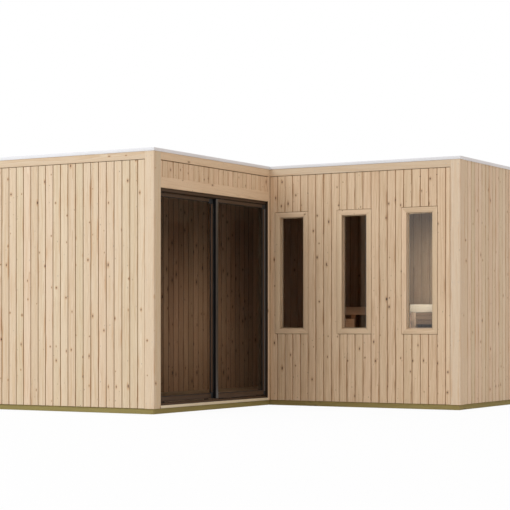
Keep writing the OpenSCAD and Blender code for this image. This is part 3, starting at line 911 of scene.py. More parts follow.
def finish_shell(shell: bmesh.types.BMesh, name: str, material: bpy.types.Material) -> bpy.types.Mesh:
    """Turns a mesh under construction into a softly shaded mesh with one material.

    Args:
        shell: The mesh under construction, which is used up.
        name: The new mesh's name.
        material: The mesh's material.

    Returns:
        The mesh.
    """
    bmesh.ops.recalc_face_normals(shell, faces=shell.faces)
    mesh = bpy.data.meshes.new(name)
    shell.to_mesh(mesh)
    shell.free()
    mesh.materials.append(material)
    soften(mesh, 40.0)
    return mesh


def bevel(shell: bmesh.types.BMesh, edges: list[bmesh.types.BMEdge], radius: float,
          segments: int) -> None:
    """Rounds edges of a mesh under construction."""
    bmesh.ops.bevel(shell, geom=edges, offset=radius, segments=segments, profile=0.5, affect="EDGES")


@dataclass
class BoardRow:
    """A row of boards that fills a box.

    Attributes:
        box: The box that the boards fill.
        outward: The side that the boards show.
        grain: The direction of the boards' length.
        pitch: Width of a board with its joint, or 0 for one board as wide as the row.
        first: Distance from the row's start to the first joint, or 0 for a whole board.
        gap: Width of the open joint between boards.
        rounding: Radius of the boards' long edges.
        thickness: The boards' thickness, or 0 for the box's own.
        uneven: Most that a board lies behind the show face.
        cutters: Boxes that are cut out of the boards.
        finish: The boards' finish.
    """

    box: Box
    outward: Axis
    grain: Axis
    pitch: float = 0.0
    first: float = 0.0
    gap: float = 0.0
    rounding: float = 3 * MM
    thickness: float = 0.0
    uneven: float = 0.0
    cutters: list[Box] = field(default_factory=list)
    finish: WoodFinish = PINE

    def build(self, name: str) -> bpy.types.Mesh:
        """Lays the boards.

        Args:
            name: The new mesh's name.

        Returns:
            The boards' mesh, in the object's frame.
        """
        matrix, size = local_frame(self.box, self.outward, self.grain)
        shell = bmesh.new()
        for cutter in self.cutters:
            add_box(shell, cutter)
        start = bpy.data.meshes.new(f"{name}_cutters")
        shell.to_mesh(start)
        shell.free()
        start.transform(matrix.inverted())
        pitch = self.pitch or size.x * 2
        mesh = run_tree(name, start, Groups.boards,
                        {"Run": size.x, "Pitch": pitch, "First": self.first or pitch, "Gap": self.gap,
                         "Length": size.z, "Thickness": self.thickness or size.y,
                         "Rounding": self.rounding, "Unevenness": self.uneven,
                         "Cut": bool(self.cutters), "Seed": Seeds.draw(),
                         "Material": self.finish.material()})
        mesh.transform(matrix)
        soften(mesh, 50.0)
        return mesh


def assemble(name: str, meshes: list[bpy.types.Mesh], slot: str, *nodes: str,
             body: str = "cabin") -> bpy.types.Object:
    """Joins meshes into one piece that rides on a body and stands for CAD nodes.

    Args:
        name: The piece's name.
        meshes: The meshes, all in the object's frame.
        slot: The piece's material slot; not used.
        *nodes: The CAD nodes that the piece replaces.
        body: The body that it rides on.

    Returns:
        The finished piece.
    """
    parts = [link(f"{name}_{i}", mesh) for i, mesh in enumerate(meshes)]
    piece = parts[0]
    if len(parts) > 1:
        with bpy.context.temp_override(active_object=piece, object=piece, selected_objects=parts,
                                       selected_editable_objects=parts):
            bpy.ops.object.join()
    piece.name = piece.data.name = name
    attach(piece, body)
    if nodes:
        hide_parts(*nodes)
    LOG.info("%s: %d faces on %s", name, len(piece.data.polygons), body)
    return piece


def bars(name: str, boxes: list[Box], radius: float, finish: CoatedFinish,
         segments: int = 2) -> bpy.types.Mesh:
    """Makes straight bars with rounded edges.

    Args:
        name: The new mesh's name.
        boxes: The bars' boxes.
        radius: Radius of the edges.
        finish: The bars' finish.
        segments: Number of faces round each edge.

    Returns:
        The mesh.
    """
    shell = bmesh.new()
    for box in boxes:
        add_box(shell, box)
    thinnest = min(min(high - low) for low, high in boxes)
    bevel(shell, list(shell.edges), min(radius, thinnest * 0.45), segments)
    return finish_shell(shell, name, finish.material())


# ---------------------------------------------------------------------------------------------
# Sub-assemblies
# ---------------------------------------------------------------------------------------------
@dataclass
class Base:
    """Treated beams on the ground and the joists between them."""

    def build(self) -> list[bpy.types.Object]:
        """Builds the beams and joists.

        Returns:
            The finished pieces.
        """
        pieces = []
        for node, name, outward, grain in (
                ("base_beams_cross", "treated_beams_cross", Axis.FRONT, Axis.RIGHT),
                ("base_beams_side", "treated_beams_side", Axis.RIGHT, Axis.BACK),
                ("floor_joists", "treated_joists", Axis.FRONT, Axis.RIGHT)):
            rows = [BoardRow(box, outward, grain, finish=TREATED).build(node) for box in solids(node)]
            pieces.append(assemble(name, rows, "treated_timber", node))
        return pieces


@dataclass
class Cladding:
    """The outside boards of every wall.

    Attributes:
        pitch: Width of a board with its joint.
        gap: Width of the open joint.
        rounding: Radius of the boards' long edges.
        uneven: Most that a board lies behind its neighbours.
        thickness: The boards' thickness.
        lift: Height of the boards' lower ends above the beam.
        drop: Extra width of the joint under a fascia.
        header_drop: Extra width of the joint under the fascia over the door.
        header_lift: Height of the lower ends over the door above the header board.
        casing_gap: Width of the joint round a casing.
        firsts: Distance from a wall's start to its first joint, where that isn't a whole board.
    """

    pitch: float = 88 * MM
    gap: float = 5.8 * MM
    rounding: float = 3.5 * MM
    uneven: float = 0.8 * MM
    thickness: float = 19 * MM
    lift: float = 2 * MM
    drop: float = 3 * MM
    header_drop: float = 5.5 * MM
    header_lift: float = 0.5 * MM
    casing_gap: float = 4.5 * MM
    firsts: dict[str, float] = field(default_factory=lambda: {"left": 41 * MM, "back": 63 * MM,
                                                              "header": 36 * MM})

    def row(self, wall: str, outward: Axis, cutters: list[Box]) -> bpy.types.Object:
        """Lays the boards of one wall.

        Args:
            wall: The wall's name.
            outward: The wall's outward direction.
            cutters: Boxes to cut out.

        Returns:
            The finished piece.
        """
        low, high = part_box(f"{wall}_cladding")
        over_door = wall == "header"
        # the wing front and the wall over the door take the warmer copy, which holds painted warm light
        finish = STAINED_AND_BOUNCE_PAINTED_PINE if wall in ("wing_front", "header") else PINE
        low.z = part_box("header_board")[1].z + self.header_lift if over_door else low.z + self.lift
        if high.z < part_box("fascia_cross")[0].z:
            high.z -= self.header_drop if over_door else self.drop
        row = BoardRow((low, high), outward, Axis.UP, self.pitch, self.firsts.get(wall, 0.0), self.gap,
                       self.rounding, self.thickness, self.uneven, cutters, finish)
        return assemble(f"{wall}_boards", [row.build(f"{wall}_cladding")], "pine_outside",
                        f"{wall}_cladding")

    def build(self) -> list[bpy.types.Object]:
        """Builds the boards of all walls.

        Returns:
            The finished pieces.
        """
        grow = Vector((self.casing_gap, CUT_DEPTH, self.casing_gap))
        holes = [(low - grow, high + grow) for low, high in solids("window_casings")]
        return [self.row(wall, outward, holes if wall == "wing_front" else [])
                for wall, outward in (("front", Axis.FRONT), ("left", Axis.LEFT), ("back", Axis.BACK),
                                      ("right", Axis.RIGHT), ("wing_front", Axis.FRONT),
                                      ("header", Axis.RIGHT))]


@dataclass
class Trim:
    """Corner boards, fascias, the strips round the door and their screws.

    Attributes:
        rounding: Radius of the boards' edges.
        sill_rounding: Radius of the door sill's edges.
        screw_radius: Radius of the screw heads.
        screw_height: Height of the screw heads.
        screw_gap: Largest distance between screws.
        screw_inset: Distance of the end screws from a board's ends.
        face_pair: Distance between the two screws of a pair on a corner's front or back board.
        side_pair: The same on a corner's side board.
    """

    rounding: float = 1.5 * MM
    sill_rounding: float = 6 * MM
    screw_radius: float = 3.2 * MM
    screw_height: float = 0.8 * MM
    screw_gap: float = 0.6
    screw_inset: float = 45 * MM
    face_pair: float = 62 * MM
    side_pair: float = 50 * MM

    def screws(self, box: Box, outward: Axis, along: Axis, pair: float) -> bpy.types.Mesh:
        """Sets screw heads along the middle of a board's show face.

        Args:
            box: The board's box.
            outward: The board's show side.
            along: The direction of the line.
            pair: Distance between the two screws of each pair, or 0 for single screws.

        Returns:
            The screw heads' mesh.
        """
        size = box[1] - box[0]
        run, face = along.vector, outward.vector
        middle = (box[0] + box[1]) / 2 + face * abs(size.dot(face)) / 2
        half = abs(size.dot(run)) / 2 - self.screw_inset
        count = max(1, math.ceil(2 * half / self.screw_gap))
        points = [middle + run * (-half + 2 * half * i / count) + run.cross(face) * aside
                  for i in range(count + 1) for aside in ((-pair / 2, pair / 2) if pair else (0.0,))]
        start = bpy.data.meshes.new("trim_screws_points")
        start.from_pydata([tuple(p) for p in points], [], [])
        return run_tree("trim_screws", start, Groups.studs,
                        {"Radius": self.screw_radius, "Height": self.screw_height,
                         "Facing": face.to_track_quat("Z", "Y").to_euler(), "Seed": Seeds.draw(),
                         "Material": STEEL.material()})

    def board(self, box: Box, outward: Axis, grain: Axis, pair: float | None = None,
              finish: WoodFinish = TRIM_PINE, rounding: float = 0.0) -> list[bpy.types.Mesh]:
        """Makes one board that fills a box, and its screws.

        Args:
            box: The board's box.
            outward: The board's show side.
            grain: The direction of its length.
            pair: Distance between the two screws of each pair, 0 for single screws, None for none.
            finish: The board's finish.
            rounding: Radius of its edges, or 0 for the usual one.

        Returns:
            The meshes of the board and of its screws.
        """
        row = BoardRow(box, outward, grain, rounding=rounding or self.rounding, finish=finish)
        meshes = [row.build("trim_board")]
        return meshes if pair is None else [*meshes, self.screws(box, outward, grain, pair)]

    def build(self) -> list[bpy.types.Object]:
        """Builds all trim boards.

        Returns:
            The finished pieces.
        """
        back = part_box("back_wall")[1].y
        middle = sum(c.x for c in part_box("front_cladding")) / 2
        pieces = []
        for node, name, grain, pair, facing in (
                ("corner_boards_face", "corner_boards", Axis.UP, self.face_pair,
                 lambda box: Axis.BACK if box[1].y > back else Axis.FRONT),
                ("corner_boards_side", "corner_side_boards", Axis.UP, self.side_pair,
                 lambda box: Axis.LEFT if box[0].x < middle else Axis.RIGHT),
                ("fascia_cross", "fascia_boards", Axis.RIGHT, 0.0, lambda box: Axis.FRONT)):
            meshes = [m for box in solids(node) for m in self.board(box, facing(box), grain, pair)]
            pieces.append(assemble(name, meshes, "pine_outside", node))
        for node, grain, pair, finish, rounding in (
                ("fascia_door_side", Axis.BACK, 0.0, BOUNCE_PAINTED_TRIM, self.rounding),
                ("header_board", Axis.BACK, 0.0, BOUNCE_PAINTED_TRIM, self.rounding),
                ("inner_corner_strip", Axis.UP, None, BOUNCE_PAINTED_TRIM, self.rounding),
                ("door_sill", Axis.BACK, None, PAINTED_LIGHT_SILL_PINE, self.sill_rounding)):
            meshes = self.board(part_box(node), Axis.RIGHT, grain, pair, finish, rounding)
            pieces.append(assemble(f"{node}_wood", meshes, "pine_outside", node))
        return pieces


@dataclass
class Windows:
    """Mitred casings, reveals and glass of the three windows.

    Attributes:
        rounding: Radius of the edges of casings and beads.
        reveal_rounding: Radius of the reveal boards' edges.
        bead: Width of the glazing bead behind the glass.
    """

    rounding: float = 1.5 * MM
    reveal_rounding: float = 1 * MM
    bead: float = 9 * MM

    def mitred(self, outer: Box, inner: Box) -> bpy.types.Mesh:
        """Makes a frame of four boards whose ends meet at 45 degrees.

        Args:
            outer: The frame's outer box.
            inner: The opening, as a box.

        Returns:
            The frame's mesh, with each board's grain stored on it.
        """
        shell = bmesh.new()
        grain = shell.loops.layers.float_vector.new("grain")
        board = shell.faces.layers.float.new("board")
        (ox0, front, oz0), (ox1, back, oz1) = outer
        (ix0, _, iz0), (ix1, _, iz1) = inner
        for upright, quad in ((True, ((ox0, oz0), (ix0, iz0), (ix0, iz1), (ox0, oz1))),
                              (True, ((ix1, iz0), (ox1, oz0), (ox1, oz1), (ix1, iz1))),
                              (False, ((ox0, oz0), (ox1, oz0), (ix1, iz0), (ix0, iz0))),
                              (False, ((ix0, iz1), (ix1, iz1), (ox1, oz1), (ox0, oz1)))):
            before = set(shell.faces)
            near, rear = ([shell.verts.new((x, y, z)) for x, z in quad] for y in (front, back))
            shell.faces.new(near)
            shell.faces.new(rear[::-1])
            for i in range(4):
                shell.faces.new((near[(i + 1) % 4], near[i], rear[i], rear[(i + 1) % 4]))
            made = [f for f in shell.faces if f not in before]
            bevel(shell, list({e for f in made for e in f.edges}), self.rounding, 2)
            draw = (Seeds.draw() * GOLDEN) % 1.0
            mid_x, mid_z = (sum(place) / 4 for place in zip(*quad))
            for face in shell.faces:
                if face in before:
                    continue
                face[board] = draw
                for corner in face.loops:
                    x, y, z = corner.vert.co
                    across, along = (x - mid_x, z) if upright else (z - mid_z, x)
                    corner[grain] = Vector((across, y - front, along + draw * GRAIN_SPREAD))
        return finish_shell(shell, "casing", BOUNCE_PAINTED_TRIM.material())

    def reveal(self, outer: Box, opening: Box, pane: Box, finish: WoodFinish) -> list[bpy.types.Mesh]:
        """Makes the four boards that line one opening.

        Args:
            outer: The lining's outer box.
            opening: The opening, as a box.
            pane: The glass, whose edge the boards hold in a groove.
            finish: The boards' finish.

        Returns:
            The boards' meshes.
        """
        low, high = opening
        across = (low.x, high.x)
        return [BoardRow(box, outward, grain, rounding=self.reveal_rounding, cutters=[pane],
                         finish=finish).build("reveal")
                for box, outward, grain in (
                    (span(outer, x=(None, low.x)), Axis.RIGHT, Axis.UP),
                    (span(outer, x=(high.x, None)), Axis.LEFT, Axis.UP),
                    (span(outer, x=across, z=(None, low.z)), Axis.UP, Axis.RIGHT),
                    (span(outer, x=across, z=(high.z, None)), Axis.DOWN, Axis.RIGHT))]

    def build(self) -> list[bpy.types.Object]:
        """Builds casings, reveals and beads, and dresses the glass.

        Returns:
            The finished pieces.
        """
        casings, reveals, beads = [], [], []
        panes = solids("window_glass")
        for casing, reveal, pane in zip(solids("window_casings"), solids("window_frames"), panes):
            # painted light and shade: the right window's reveal gets the paler copy of the wood, for the
            # light that falls into it, and the other two the darker copy, for their shade
            finish = PAINTED_LIGHT_REVEAL_PINE if pane is panes[-1] else PAINTED_SHADE_REVEAL_PINE
            low, high = pane
            opening = span(casing, x=(low.x + BITE, high.x - BITE), z=(low.z + BITE, high.z - BITE))
            casings.append(self.mitred(casing, opening))
            reveals += self.reveal(reveal, opening, pane, finish)
            outer = span(opening, y=(high.y, high.y + self.bead))
            inset = Vector((self.bead, 0, self.bead))
            beads.append(self.mitred(outer, (outer[0] + inset, outer[1] - inset)))
        dress("window_glass", WINDOW_GLASS.material())
        return [assemble("casing_boards", casings, "pine_outside", "window_casings"),
                assemble("window_reveals", reveals, "pine_outside", "window_frames"),
                assemble("glazing_beads", beads, "pine_outside")]


@dataclass
class SlidingDoor:
    """The frame and the two leaves of the sliding door.

    Attributes:
        edge: Radius of the profiles' edges.
        rib: Height of the two ribs that the leaves run on.
        rib_half: Half a rib's thickness.
        gasket: Width of the rubber round the glass.
        gasket_depth: Depth of that rubber.
        plate: Thickness of the grey plate on a stile's outer face.
        lip: Width of the brown strip between the glass and the plate of a leaf's right stile.
        cap_proud: How far a cap stands out from its stile.
        caps: For each leaf, width and height of the cap on its right stile at the top and bottom.
        roller: Half thickness, length and distance from the leaf's end of a roller.
    """

    edge: float = 1.2 * MM
    rib: float = 3 * MM
    rib_half: float = 2 * MM
    gasket: float = 5 * MM
    gasket_depth: float = 4 * MM
    plate: float = 3 * MM
    lip: float = 18 * MM
    cap_proud: float = 0.5 * MM
    caps: dict[str, tuple[tuple[float, float], ...]] = field(default_factory=lambda: {
        "left": ((95 * MM, 50 * MM), (60 * MM, 60 * MM)),
        "right": ((75 * MM, 45 * MM), (42 * MM, 42 * MM))})
    roller: tuple[float, float, float] = (7 * MM, 60 * MM, 48 * MM)

    def build(self) -> list[bpy.types.Object]:
        """Builds the frame and both leaves.

        Returns:
            The finished pieces.
        """
        return [*self.fixed(), *self.leaf("left"), *self.leaf("right")]

    def fixed(self) -> list[bpy.types.Object]:
        """Builds the head, the track and the side channels.

        Returns:
            The finished pieces.
        """
        pieces = [assemble(f"{node}_metal", [bars(node, self.ribbed(node), self.edge, BROWN_METAL)],
                           "dark_metal", node) for node in ("door_head", "door_track")]
        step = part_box("right_leaf_glass")[0].x
        posts = solids("door_jambs")
        # the part of each jamb behind the right leaf's glass takes the paler brown metal, painted light
        # where it shows through the glass; the front part keeps the dark metal
        jambs = [bars("door_jambs", [span(box, x=(step, None)) for box in posts], self.edge, DARK_METAL),
                 bars("door_jambs_inner", [span(box, x=(None, step)) for box in posts], self.edge,
                      BROWN_METAL)]
        return [*pieces, assemble("door_jambs_metal", jambs, "dark_metal", "door_jambs")]

    def ribbed(self, node: str) -> list[Box]:
        """Splits the head or the track into its channel and its two ribs.

        Args:
            node: The CAD node's name.

        Returns:
            The boxes of the channel and the ribs.
        """
        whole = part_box(node)
        if node == "door_track":
            step = whole[1].z - self.rib
            channel, ribs = span(whole, z=(None, step)), span(whole, z=(step, None))
        else:
            step = whole[0].z + self.rib
            channel, ribs = span(whole, z=(step, None)), span(whole, z=(None, step))
        panes = [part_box(f"{side}_leaf_glass") for side in ("left", "right")]
        tracks = [(low.x + high.x) / 2 for low, high in panes]
        return [channel, *(span(ribs, x=(x - self.rib_half, x + self.rib_half)) for x in tracks)]

    def stile(self, body: str, box: Box, face: CoatedFinish, core: CoatedFinish,
              lip: float = 0.0) -> list[bpy.types.Mesh]:
        """Makes one stile of a leaf, with a plate on its outer face.

        Args:
            body: The leaf's body name.
            box: The stile's box.
            face: The plate's finish.
            core: The finish of the rest.
            lip: Width of the brown strip beside the plate, or 0 for none.

        Returns:
            The stile's meshes.
        """
        outer = box[1].x - self.plate
        start = box[0].y + lip
        parts = [("plate", span(box, x=(outer, None), y=(start, None)), face),
                 ("core", span(box, x=(None, outer)), core)]
        if lip:
            parts.append(("lip", span(box, x=(outer, None), y=(None, start)), BROWN_METAL))
        return [bars(f"{body}_{name}", [part], self.edge, finish) for name, part, finish in parts]

    def leaf(self, side: str) -> list[bpy.types.Object]:
        """Builds one leaf.

        Args:
            side: The leaf's name, left or right.

        Returns:
            The finished pieces.
        """
        body = f"{side}_leaf"
        near, far = sorted(solids(f"{body}_stiles"), key=lambda b: b[0].y)
        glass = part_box(f"{body}_glass")
        clear = span(near, y=(near[1].y, far[0].y))
        opening = span(clear, z=(glass[0].z + BITE, glass[1].z - BITE))
        rails = [span(clear, z=(None, opening[0].z)), span(clear, z=(opening[1].z, None))]
        # painted light and shade on one metal: the near stiles get a dim plate and a black core for their
        # shade, the left leaf's far stile a pale brown core for the light on it
        profiles = [bars(f"{body}_rails", rails, self.edge, BROWN_METAL),
                    *self.stile(body, near, PAINTED_SHADE_GREY_METAL, PAINTED_SHADE_BLACK_METAL),
                    *self.stile(body, far, GREY_METAL, PAINTED_LIGHT_BROWN_METAL if side == "left" else BROWN_METAL,
                                self.lip)]
        dress(f"{body}_glass", DOOR_GLASS.material())
        pieces = [assemble(f"{body}_profiles", profiles, "dark_metal", f"{body}_stiles", f"{body}_rails",
                           body=body)]
        for part, boxes, radius, segments in (
                ("caps", self.cap_boxes(side, far, glass), 5 * MM, 4),
                ("gaskets", self.gasket_boxes(opening, glass), 1 * MM, 2),
                ("rollers", self.roller_boxes(body, near), 1.5 * MM, 2)):
            name = f"{body}_{part}"
            pieces.append(assemble(name, [bars(name, boxes, radius, BLACK_RUBBER, segments)],
                                   "dark_metal", body=body))
        return pieces

    def cap_boxes(self, side: str, stile: Box, glass: Box) -> list[Box]:
        """Places the black caps on the outer face of a leaf's right stile.

        Args:
            side: The leaf's name, left or right.
            stile: The leaf's right stile.
            glass: The glass pane.

        Returns:
            The boxes of the upper and the lower cap.
        """
        (top_width, top_height), (low_width, low_height) = self.caps[side]
        low, high = stile
        thick = (glass[1].x, high.x + self.cap_proud)
        return [span(stile, x=thick, y=(high.y - top_width, None), z=(high.z - top_height, None)),
                span(stile, x=thick, y=(high.y - low_width, None), z=(None, low.z + low_height))]

    def gasket_boxes(self, opening: Box, glass: Box) -> list[Box]:
        """Places the rubber strips on both faces of the glass.

        Args:
            opening: The leaf's clear opening.
            glass: The glass pane.

        Returns:
            The strips' boxes.
        """
        (_, y0, z0), (_, y1, z1) = opening
        between = (y0 + self.gasket, y1 - self.gasket)
        inner, outer = glass[0].x, glass[1].x
        return [span(opening, x=thick, y=y, z=z)
                for thick in ((inner - self.gasket_depth, inner), (outer, outer + self.gasket_depth))
                for y, z in (((y0, between[0]), (z0, z1)), ((between[1], y1), (z0, z1)),
                             (between, (z0, z0 + self.gasket)), (between, (z1 - self.gasket, z1)))]

    def roller_boxes(self, body: str, stile: Box) -> list[Box]:
        """Places the rollers under a leaf and the guides on it.

        Args:
            body: The leaf's body name.
            stile: One of its stiles, which gives the leaf's bottom and top.

        Returns:
            The boxes of rollers and guides.
        """
        low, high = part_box(f"{body}_rails")
        half, length, end = self.roller
        x = (low.x + high.x) / 2
        return [span(stile, x=(x - half, x + half), y=(y, y + length), z=z)
                for y in (low.y + end, high.y - end - length)
                for z in ((low.z, stile[0].z), (stile[1].z, high.z))]


@dataclass
class Roof:
    """Roofing felt in lapped strips and the white raised edge.

    Attributes:
        strip: Width of a felt strip.
        lap: How far an upper strip reaches over a lower one.
        thin: Thickness of upper and lower strips, as a share of the felt's.
        felt_edge: Radius of the felt's edges.
        edge: Radius of the flashing's edges.
        joint: Length of a flashing piece.
        hairline: Width of the joint between two pieces.
    """

    strip: float = 1.0
    lap: float = 80 * MM
    thin: tuple[float, float] = (0.85, 0.55)
    felt_edge: float = 0.8 * MM
    edge: float = 2 * MM
    joint: float = 2.0
    hairline: float = 0.4 * MM

    def build(self) -> list[bpy.types.Object]:
        """Builds the felt and the flashing.

        Returns:
            The finished pieces.
        """
        felts = ("roof_felt_block", "roof_felt_wing")
        strips = []
        for felt in map(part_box, felts):
            low, high = felt
            count = max(1, round((high.y - low.y) / self.strip))
            step = (high.y - low.y) / count
            for i in range(count):
                y = low.y + i * step
                end = min(high.y, y + step + (0.0 if i % 2 else self.lap))
                top = low.z + (high.z - low.z) * self.thin[i % 2]
                strips.append(span(felt, y=(y, end), z=(None, top)))
        pieces = [assemble("felt_strips", [bars("felt_strips", strips, self.felt_edge, FELT, 1)],
                           "roofing_felt", *felts)]
        for node, axis in (("flashing_cross", "x"), ("flashing_side", "y")):
            boxes = [part for box in solids(node) for part in self.lengths(box, axis)]
            pieces.append(assemble(f"white_{node}", [bars(node, boxes, self.edge, WHITE)],
                                   "white_flashing", node))
        return pieces

    def lengths(self, box: Box, axis: str) -> list[Box]:
        """Splits a run of flashing into equal pieces with hairline joints.

        Args:
            box: The flashing's box.
            axis: The axis that it runs along, x or y.

        Returns:
            The pieces' boxes.
        """
        start, end = (getattr(corner, axis) for corner in box)
        count = max(1, math.ceil((end - start) / self.joint))
        step = (end - start) / count
        return [span(box, **{axis: (start + step * i + (self.hairline if i else 0.0),
                                    start + step * (i + 1))}) for i in range(count)]


@dataclass
class Interior:
    """Lining, ceiling, floor and benches.

    Attributes:
        pitch: Width of a lining board with its joint.
        gap: Width of the open joint between the lining boards of the side walls.
        tight_gap: Width of the open joint between all other boards.
        rounding: Radius of the boards' long edges.
        floor_pitch: Width of a floor board with its joint.
        bench_rounding: Radius of the edges of bench boards and posts.
        slats: Number of slats in a bench seat.
        slat_gap: Width of the gap between slats.
        slat_spare: Width added to a bench's depth before the slats share it.
        slat_thickness: The slats' thickness.
        bearer: Width of a bearer under the slats.
        painted_light_margin: How far beside the right bench the posts with painted light begin.
        past: How far the doorway's cutter reaches past the boards.
    """

    pitch: float = 103 * MM
    gap: float = 8 * MM
    tight_gap: float = 2 * MM
    rounding: float = 3 * MM
    floor_pitch: float = 120 * MM
    bench_rounding: float = 4 * MM
    slats: int = 6
    slat_gap: float = 12 * MM
    slat_spare: float = 0.3 * MM
    slat_thickness: float = 28 * MM
    bearer: float = 45 * MM
    painted_light_margin: float = 100 * MM
    past: float = 100 * MM

    def lining(self, box: Box, outward: Axis, grain: Axis = Axis.UP, finish: WoodFinish = CALM_LINING,
               pitch: float = 0.0, cutters: list[Box] | None = None) -> bpy.types.Mesh:
        """Lays one surface of lining boards.

        Args:
            box: The box that the boards fill.
            outward: The side that they show.
            grain: The direction of their length.
            finish: Their finish.
            pitch: Width of a board with its joint, or 0 for the usual one.
            cutters: Boxes to cut out.

        Returns:
            The boards' mesh.
        """
        gap = self.gap if finish is LINING else self.tight_gap
        return BoardRow(box, outward, grain, pitch or self.pitch, 0.0, gap, self.rounding,
                        cutters=cutters or [], finish=finish).build("lining")

    def build(self) -> list[bpy.types.Object]:
        """Builds all inside surfaces and the benches.

        Returns:
            The finished pieces.
        """
        deep = Vector((0, CUT_DEPTH, 0))
        holes = [(low - deep, high + deep) for low, high in solids("window_frames")]
        front, wing, back = sorted(solids("lining_cross"), key=lambda b: b[0].y)
        left, door_side, right = sorted(solids("lining_side"), key=lambda b: b[0].x)
        board_low, board_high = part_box("header_board")
        doorway = span(door_side, x=(door_side[0].x - self.past, door_side[1].x + self.past),
                       y=(board_low.y - self.past, board_high.y), z=(0.0, board_low.z))
        cross = [self.lining(front, Axis.BACK), self.lining(wing, Axis.BACK, cutters=holes),
                 self.lining(back, Axis.FRONT)]
        side = [self.lining(box, outward, finish=LINING, cutters=cutters)
                for box, outward, cutters in ((left, Axis.RIGHT, []), (door_side, Axis.LEFT, [doorway]),
                                              (right, Axis.LEFT, []))]
        ceilings, floors = ("ceiling_block", "ceiling_wing"), ("floor_block", "floor_wing")
        ceiling = [self.lining(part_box(node), Axis.DOWN, Axis.BACK) for node in ceilings]
        floor = [self.lining(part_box(node), Axis.UP, Axis.BACK, FLOOR, self.floor_pitch)
                 for node in floors]
        return [assemble("lining_boards_cross", cross, "lining_boards", "lining_cross"),
                assemble("lining_boards_side", side, "lining_boards", "lining_side"),
                assemble("ceiling_boards", ceiling, "lining_boards", *ceilings),
                assemble("floor_boards", floor, "floor_boards", *floors),
                *self.benches()]

    def benches(self) -> list[bpy.types.Object]:
        """Builds the front boards, skirts, posts and seats of both benches.

        Returns:
            The finished pieces.
        """
        boards, legs = solids("bench_boards"), solids("bench_legs")
        nearest = min(low.y for low, _ in boards)
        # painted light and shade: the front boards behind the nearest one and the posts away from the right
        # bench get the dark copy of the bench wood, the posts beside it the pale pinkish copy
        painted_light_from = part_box("bench_seat_right")[0].x - self.painted_light_margin
        fronts = [BoardRow(box, Axis.FRONT, Axis.RIGHT, rounding=self.bench_rounding,
                           finish=PAINTED_SHADE_BENCH if box[0].y > nearest + MM else BENCH).build("bench_front")
                  for box in boards]
        posts = [BoardRow(box, Axis.FRONT, Axis.UP, rounding=self.bench_rounding,
                          finish=PAINTED_LIGHT_LEG if box[0].x > painted_light_from else PAINTED_SHADE_BENCH).build("bench_leg") for box in legs]
        return [assemble("bench_front_boards", fronts, "bench_wood", "bench_boards"),
                assemble("bench_posts", posts, "bench_wood", "bench_legs"),
                *(self.seat(side, legs) for side in ("left", "right"))]

    def seat(self, side: str, legs: list[Box]) -> bpy.types.Object:
        """Builds the slats of one bench and the bearers on its posts.

        Args:
            side: The bench's name, left or right.
            legs: The posts of both benches.

        Returns:
            The finished piece.
        """
        node = f"bench_seat_{side}"
        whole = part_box(node)
        low, high = whole
        under = high.z - self.slat_thickness
        top = span(whole, y=(low.y - self.slat_gap / 2, None), z=(under, None))
        pitch = (high.y - low.y + self.slat_spare) / self.slats
        meshes = [BoardRow(top, Axis.UP, Axis.RIGHT, pitch, 0.0, self.slat_gap, self.bench_rounding,
                           finish=BENCH).build("bench_slats")]
        for leg_low, leg_high in legs:
            if low.x - MM < leg_low.x < high.x and abs(leg_high.z - low.z) < 2 * MM:
                bearer = span(whole, x=(leg_low.x, leg_low.x + self.bearer), z=(None, under))
                meshes.append(BoardRow(bearer, Axis.DOWN, Axis.BACK, finish=BENCH).build("bench_bearer"))
        return assemble(f"bench_slats_{side}", meshes, "bench_wood", node)


def dress(node: str, material: bpy.types.Material) -> None:
    """Gives a CAD node one material on all its faces.

    Args:
        node: The CAD node's name.
        material: The material.
    """
    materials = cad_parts[node].data.materials
    materials.clear()
    materials.append(material)


def dress_panels() -> None:
    """Gives the panels that the boards cover their finish, with the grain along each panel."""
    for grain, nodes in ((Grain.ALONG_Z, ("front_wall", "left_wall", "back_wall", "right_wall",
                                          "wing_front_wall", "door_post")),
                         (Grain.ALONG_Y, ("door_header", "roof_panel_block", "roof_panel_wing"))):
        for node in nodes:
            dress(node, FRAMING.material(grain))


# ---------------------------------------------------------------------------------------------
# Studio
# ---------------------------------------------------------------------------------------------
@dataclass(frozen=True)
class Lamp:
    """A soft lamp.

    Attributes:
        name: The lamp's name.
        place: The lamp's place.
        aim: The point that it faces.
        size: Its width and its height.
        watts: Its power.
        colour: Its colour.
        spread: Its opening angle in degrees.
        hidden: Whether only its light shows, never the lamp itself.
    """

    name: str
    place: tuple[float, float, float]
    aim: tuple[float, float, float]
    size: tuple[float, float]
    watts: float
    colour: Colour
    spread: float = 180.0
    hidden: bool = False

    def build(self) -> None:
        """Hangs the lamp."""
        lamp = bpy.data.lights.new(self.name, "AREA")
        lamp.shape = "RECTANGLE"
        lamp.size, lamp.size_y = self.size
        lamp.energy = self.watts
        lamp.color = self.colour
        lamp.spread = math.radians(self.spread)
        hung = bpy.data.objects.new(self.name, lamp)
        hung.location = self.place
        hung.rotation_euler = (Vector(self.aim) - Vector(self.place)).to_track_quat("-Z", "Y").to_euler()
        hung.visible_camera = hung.visible_glossy = hung.visible_transmission = not self.hidden
        bpy.context.scene.collection.objects.link(hung)


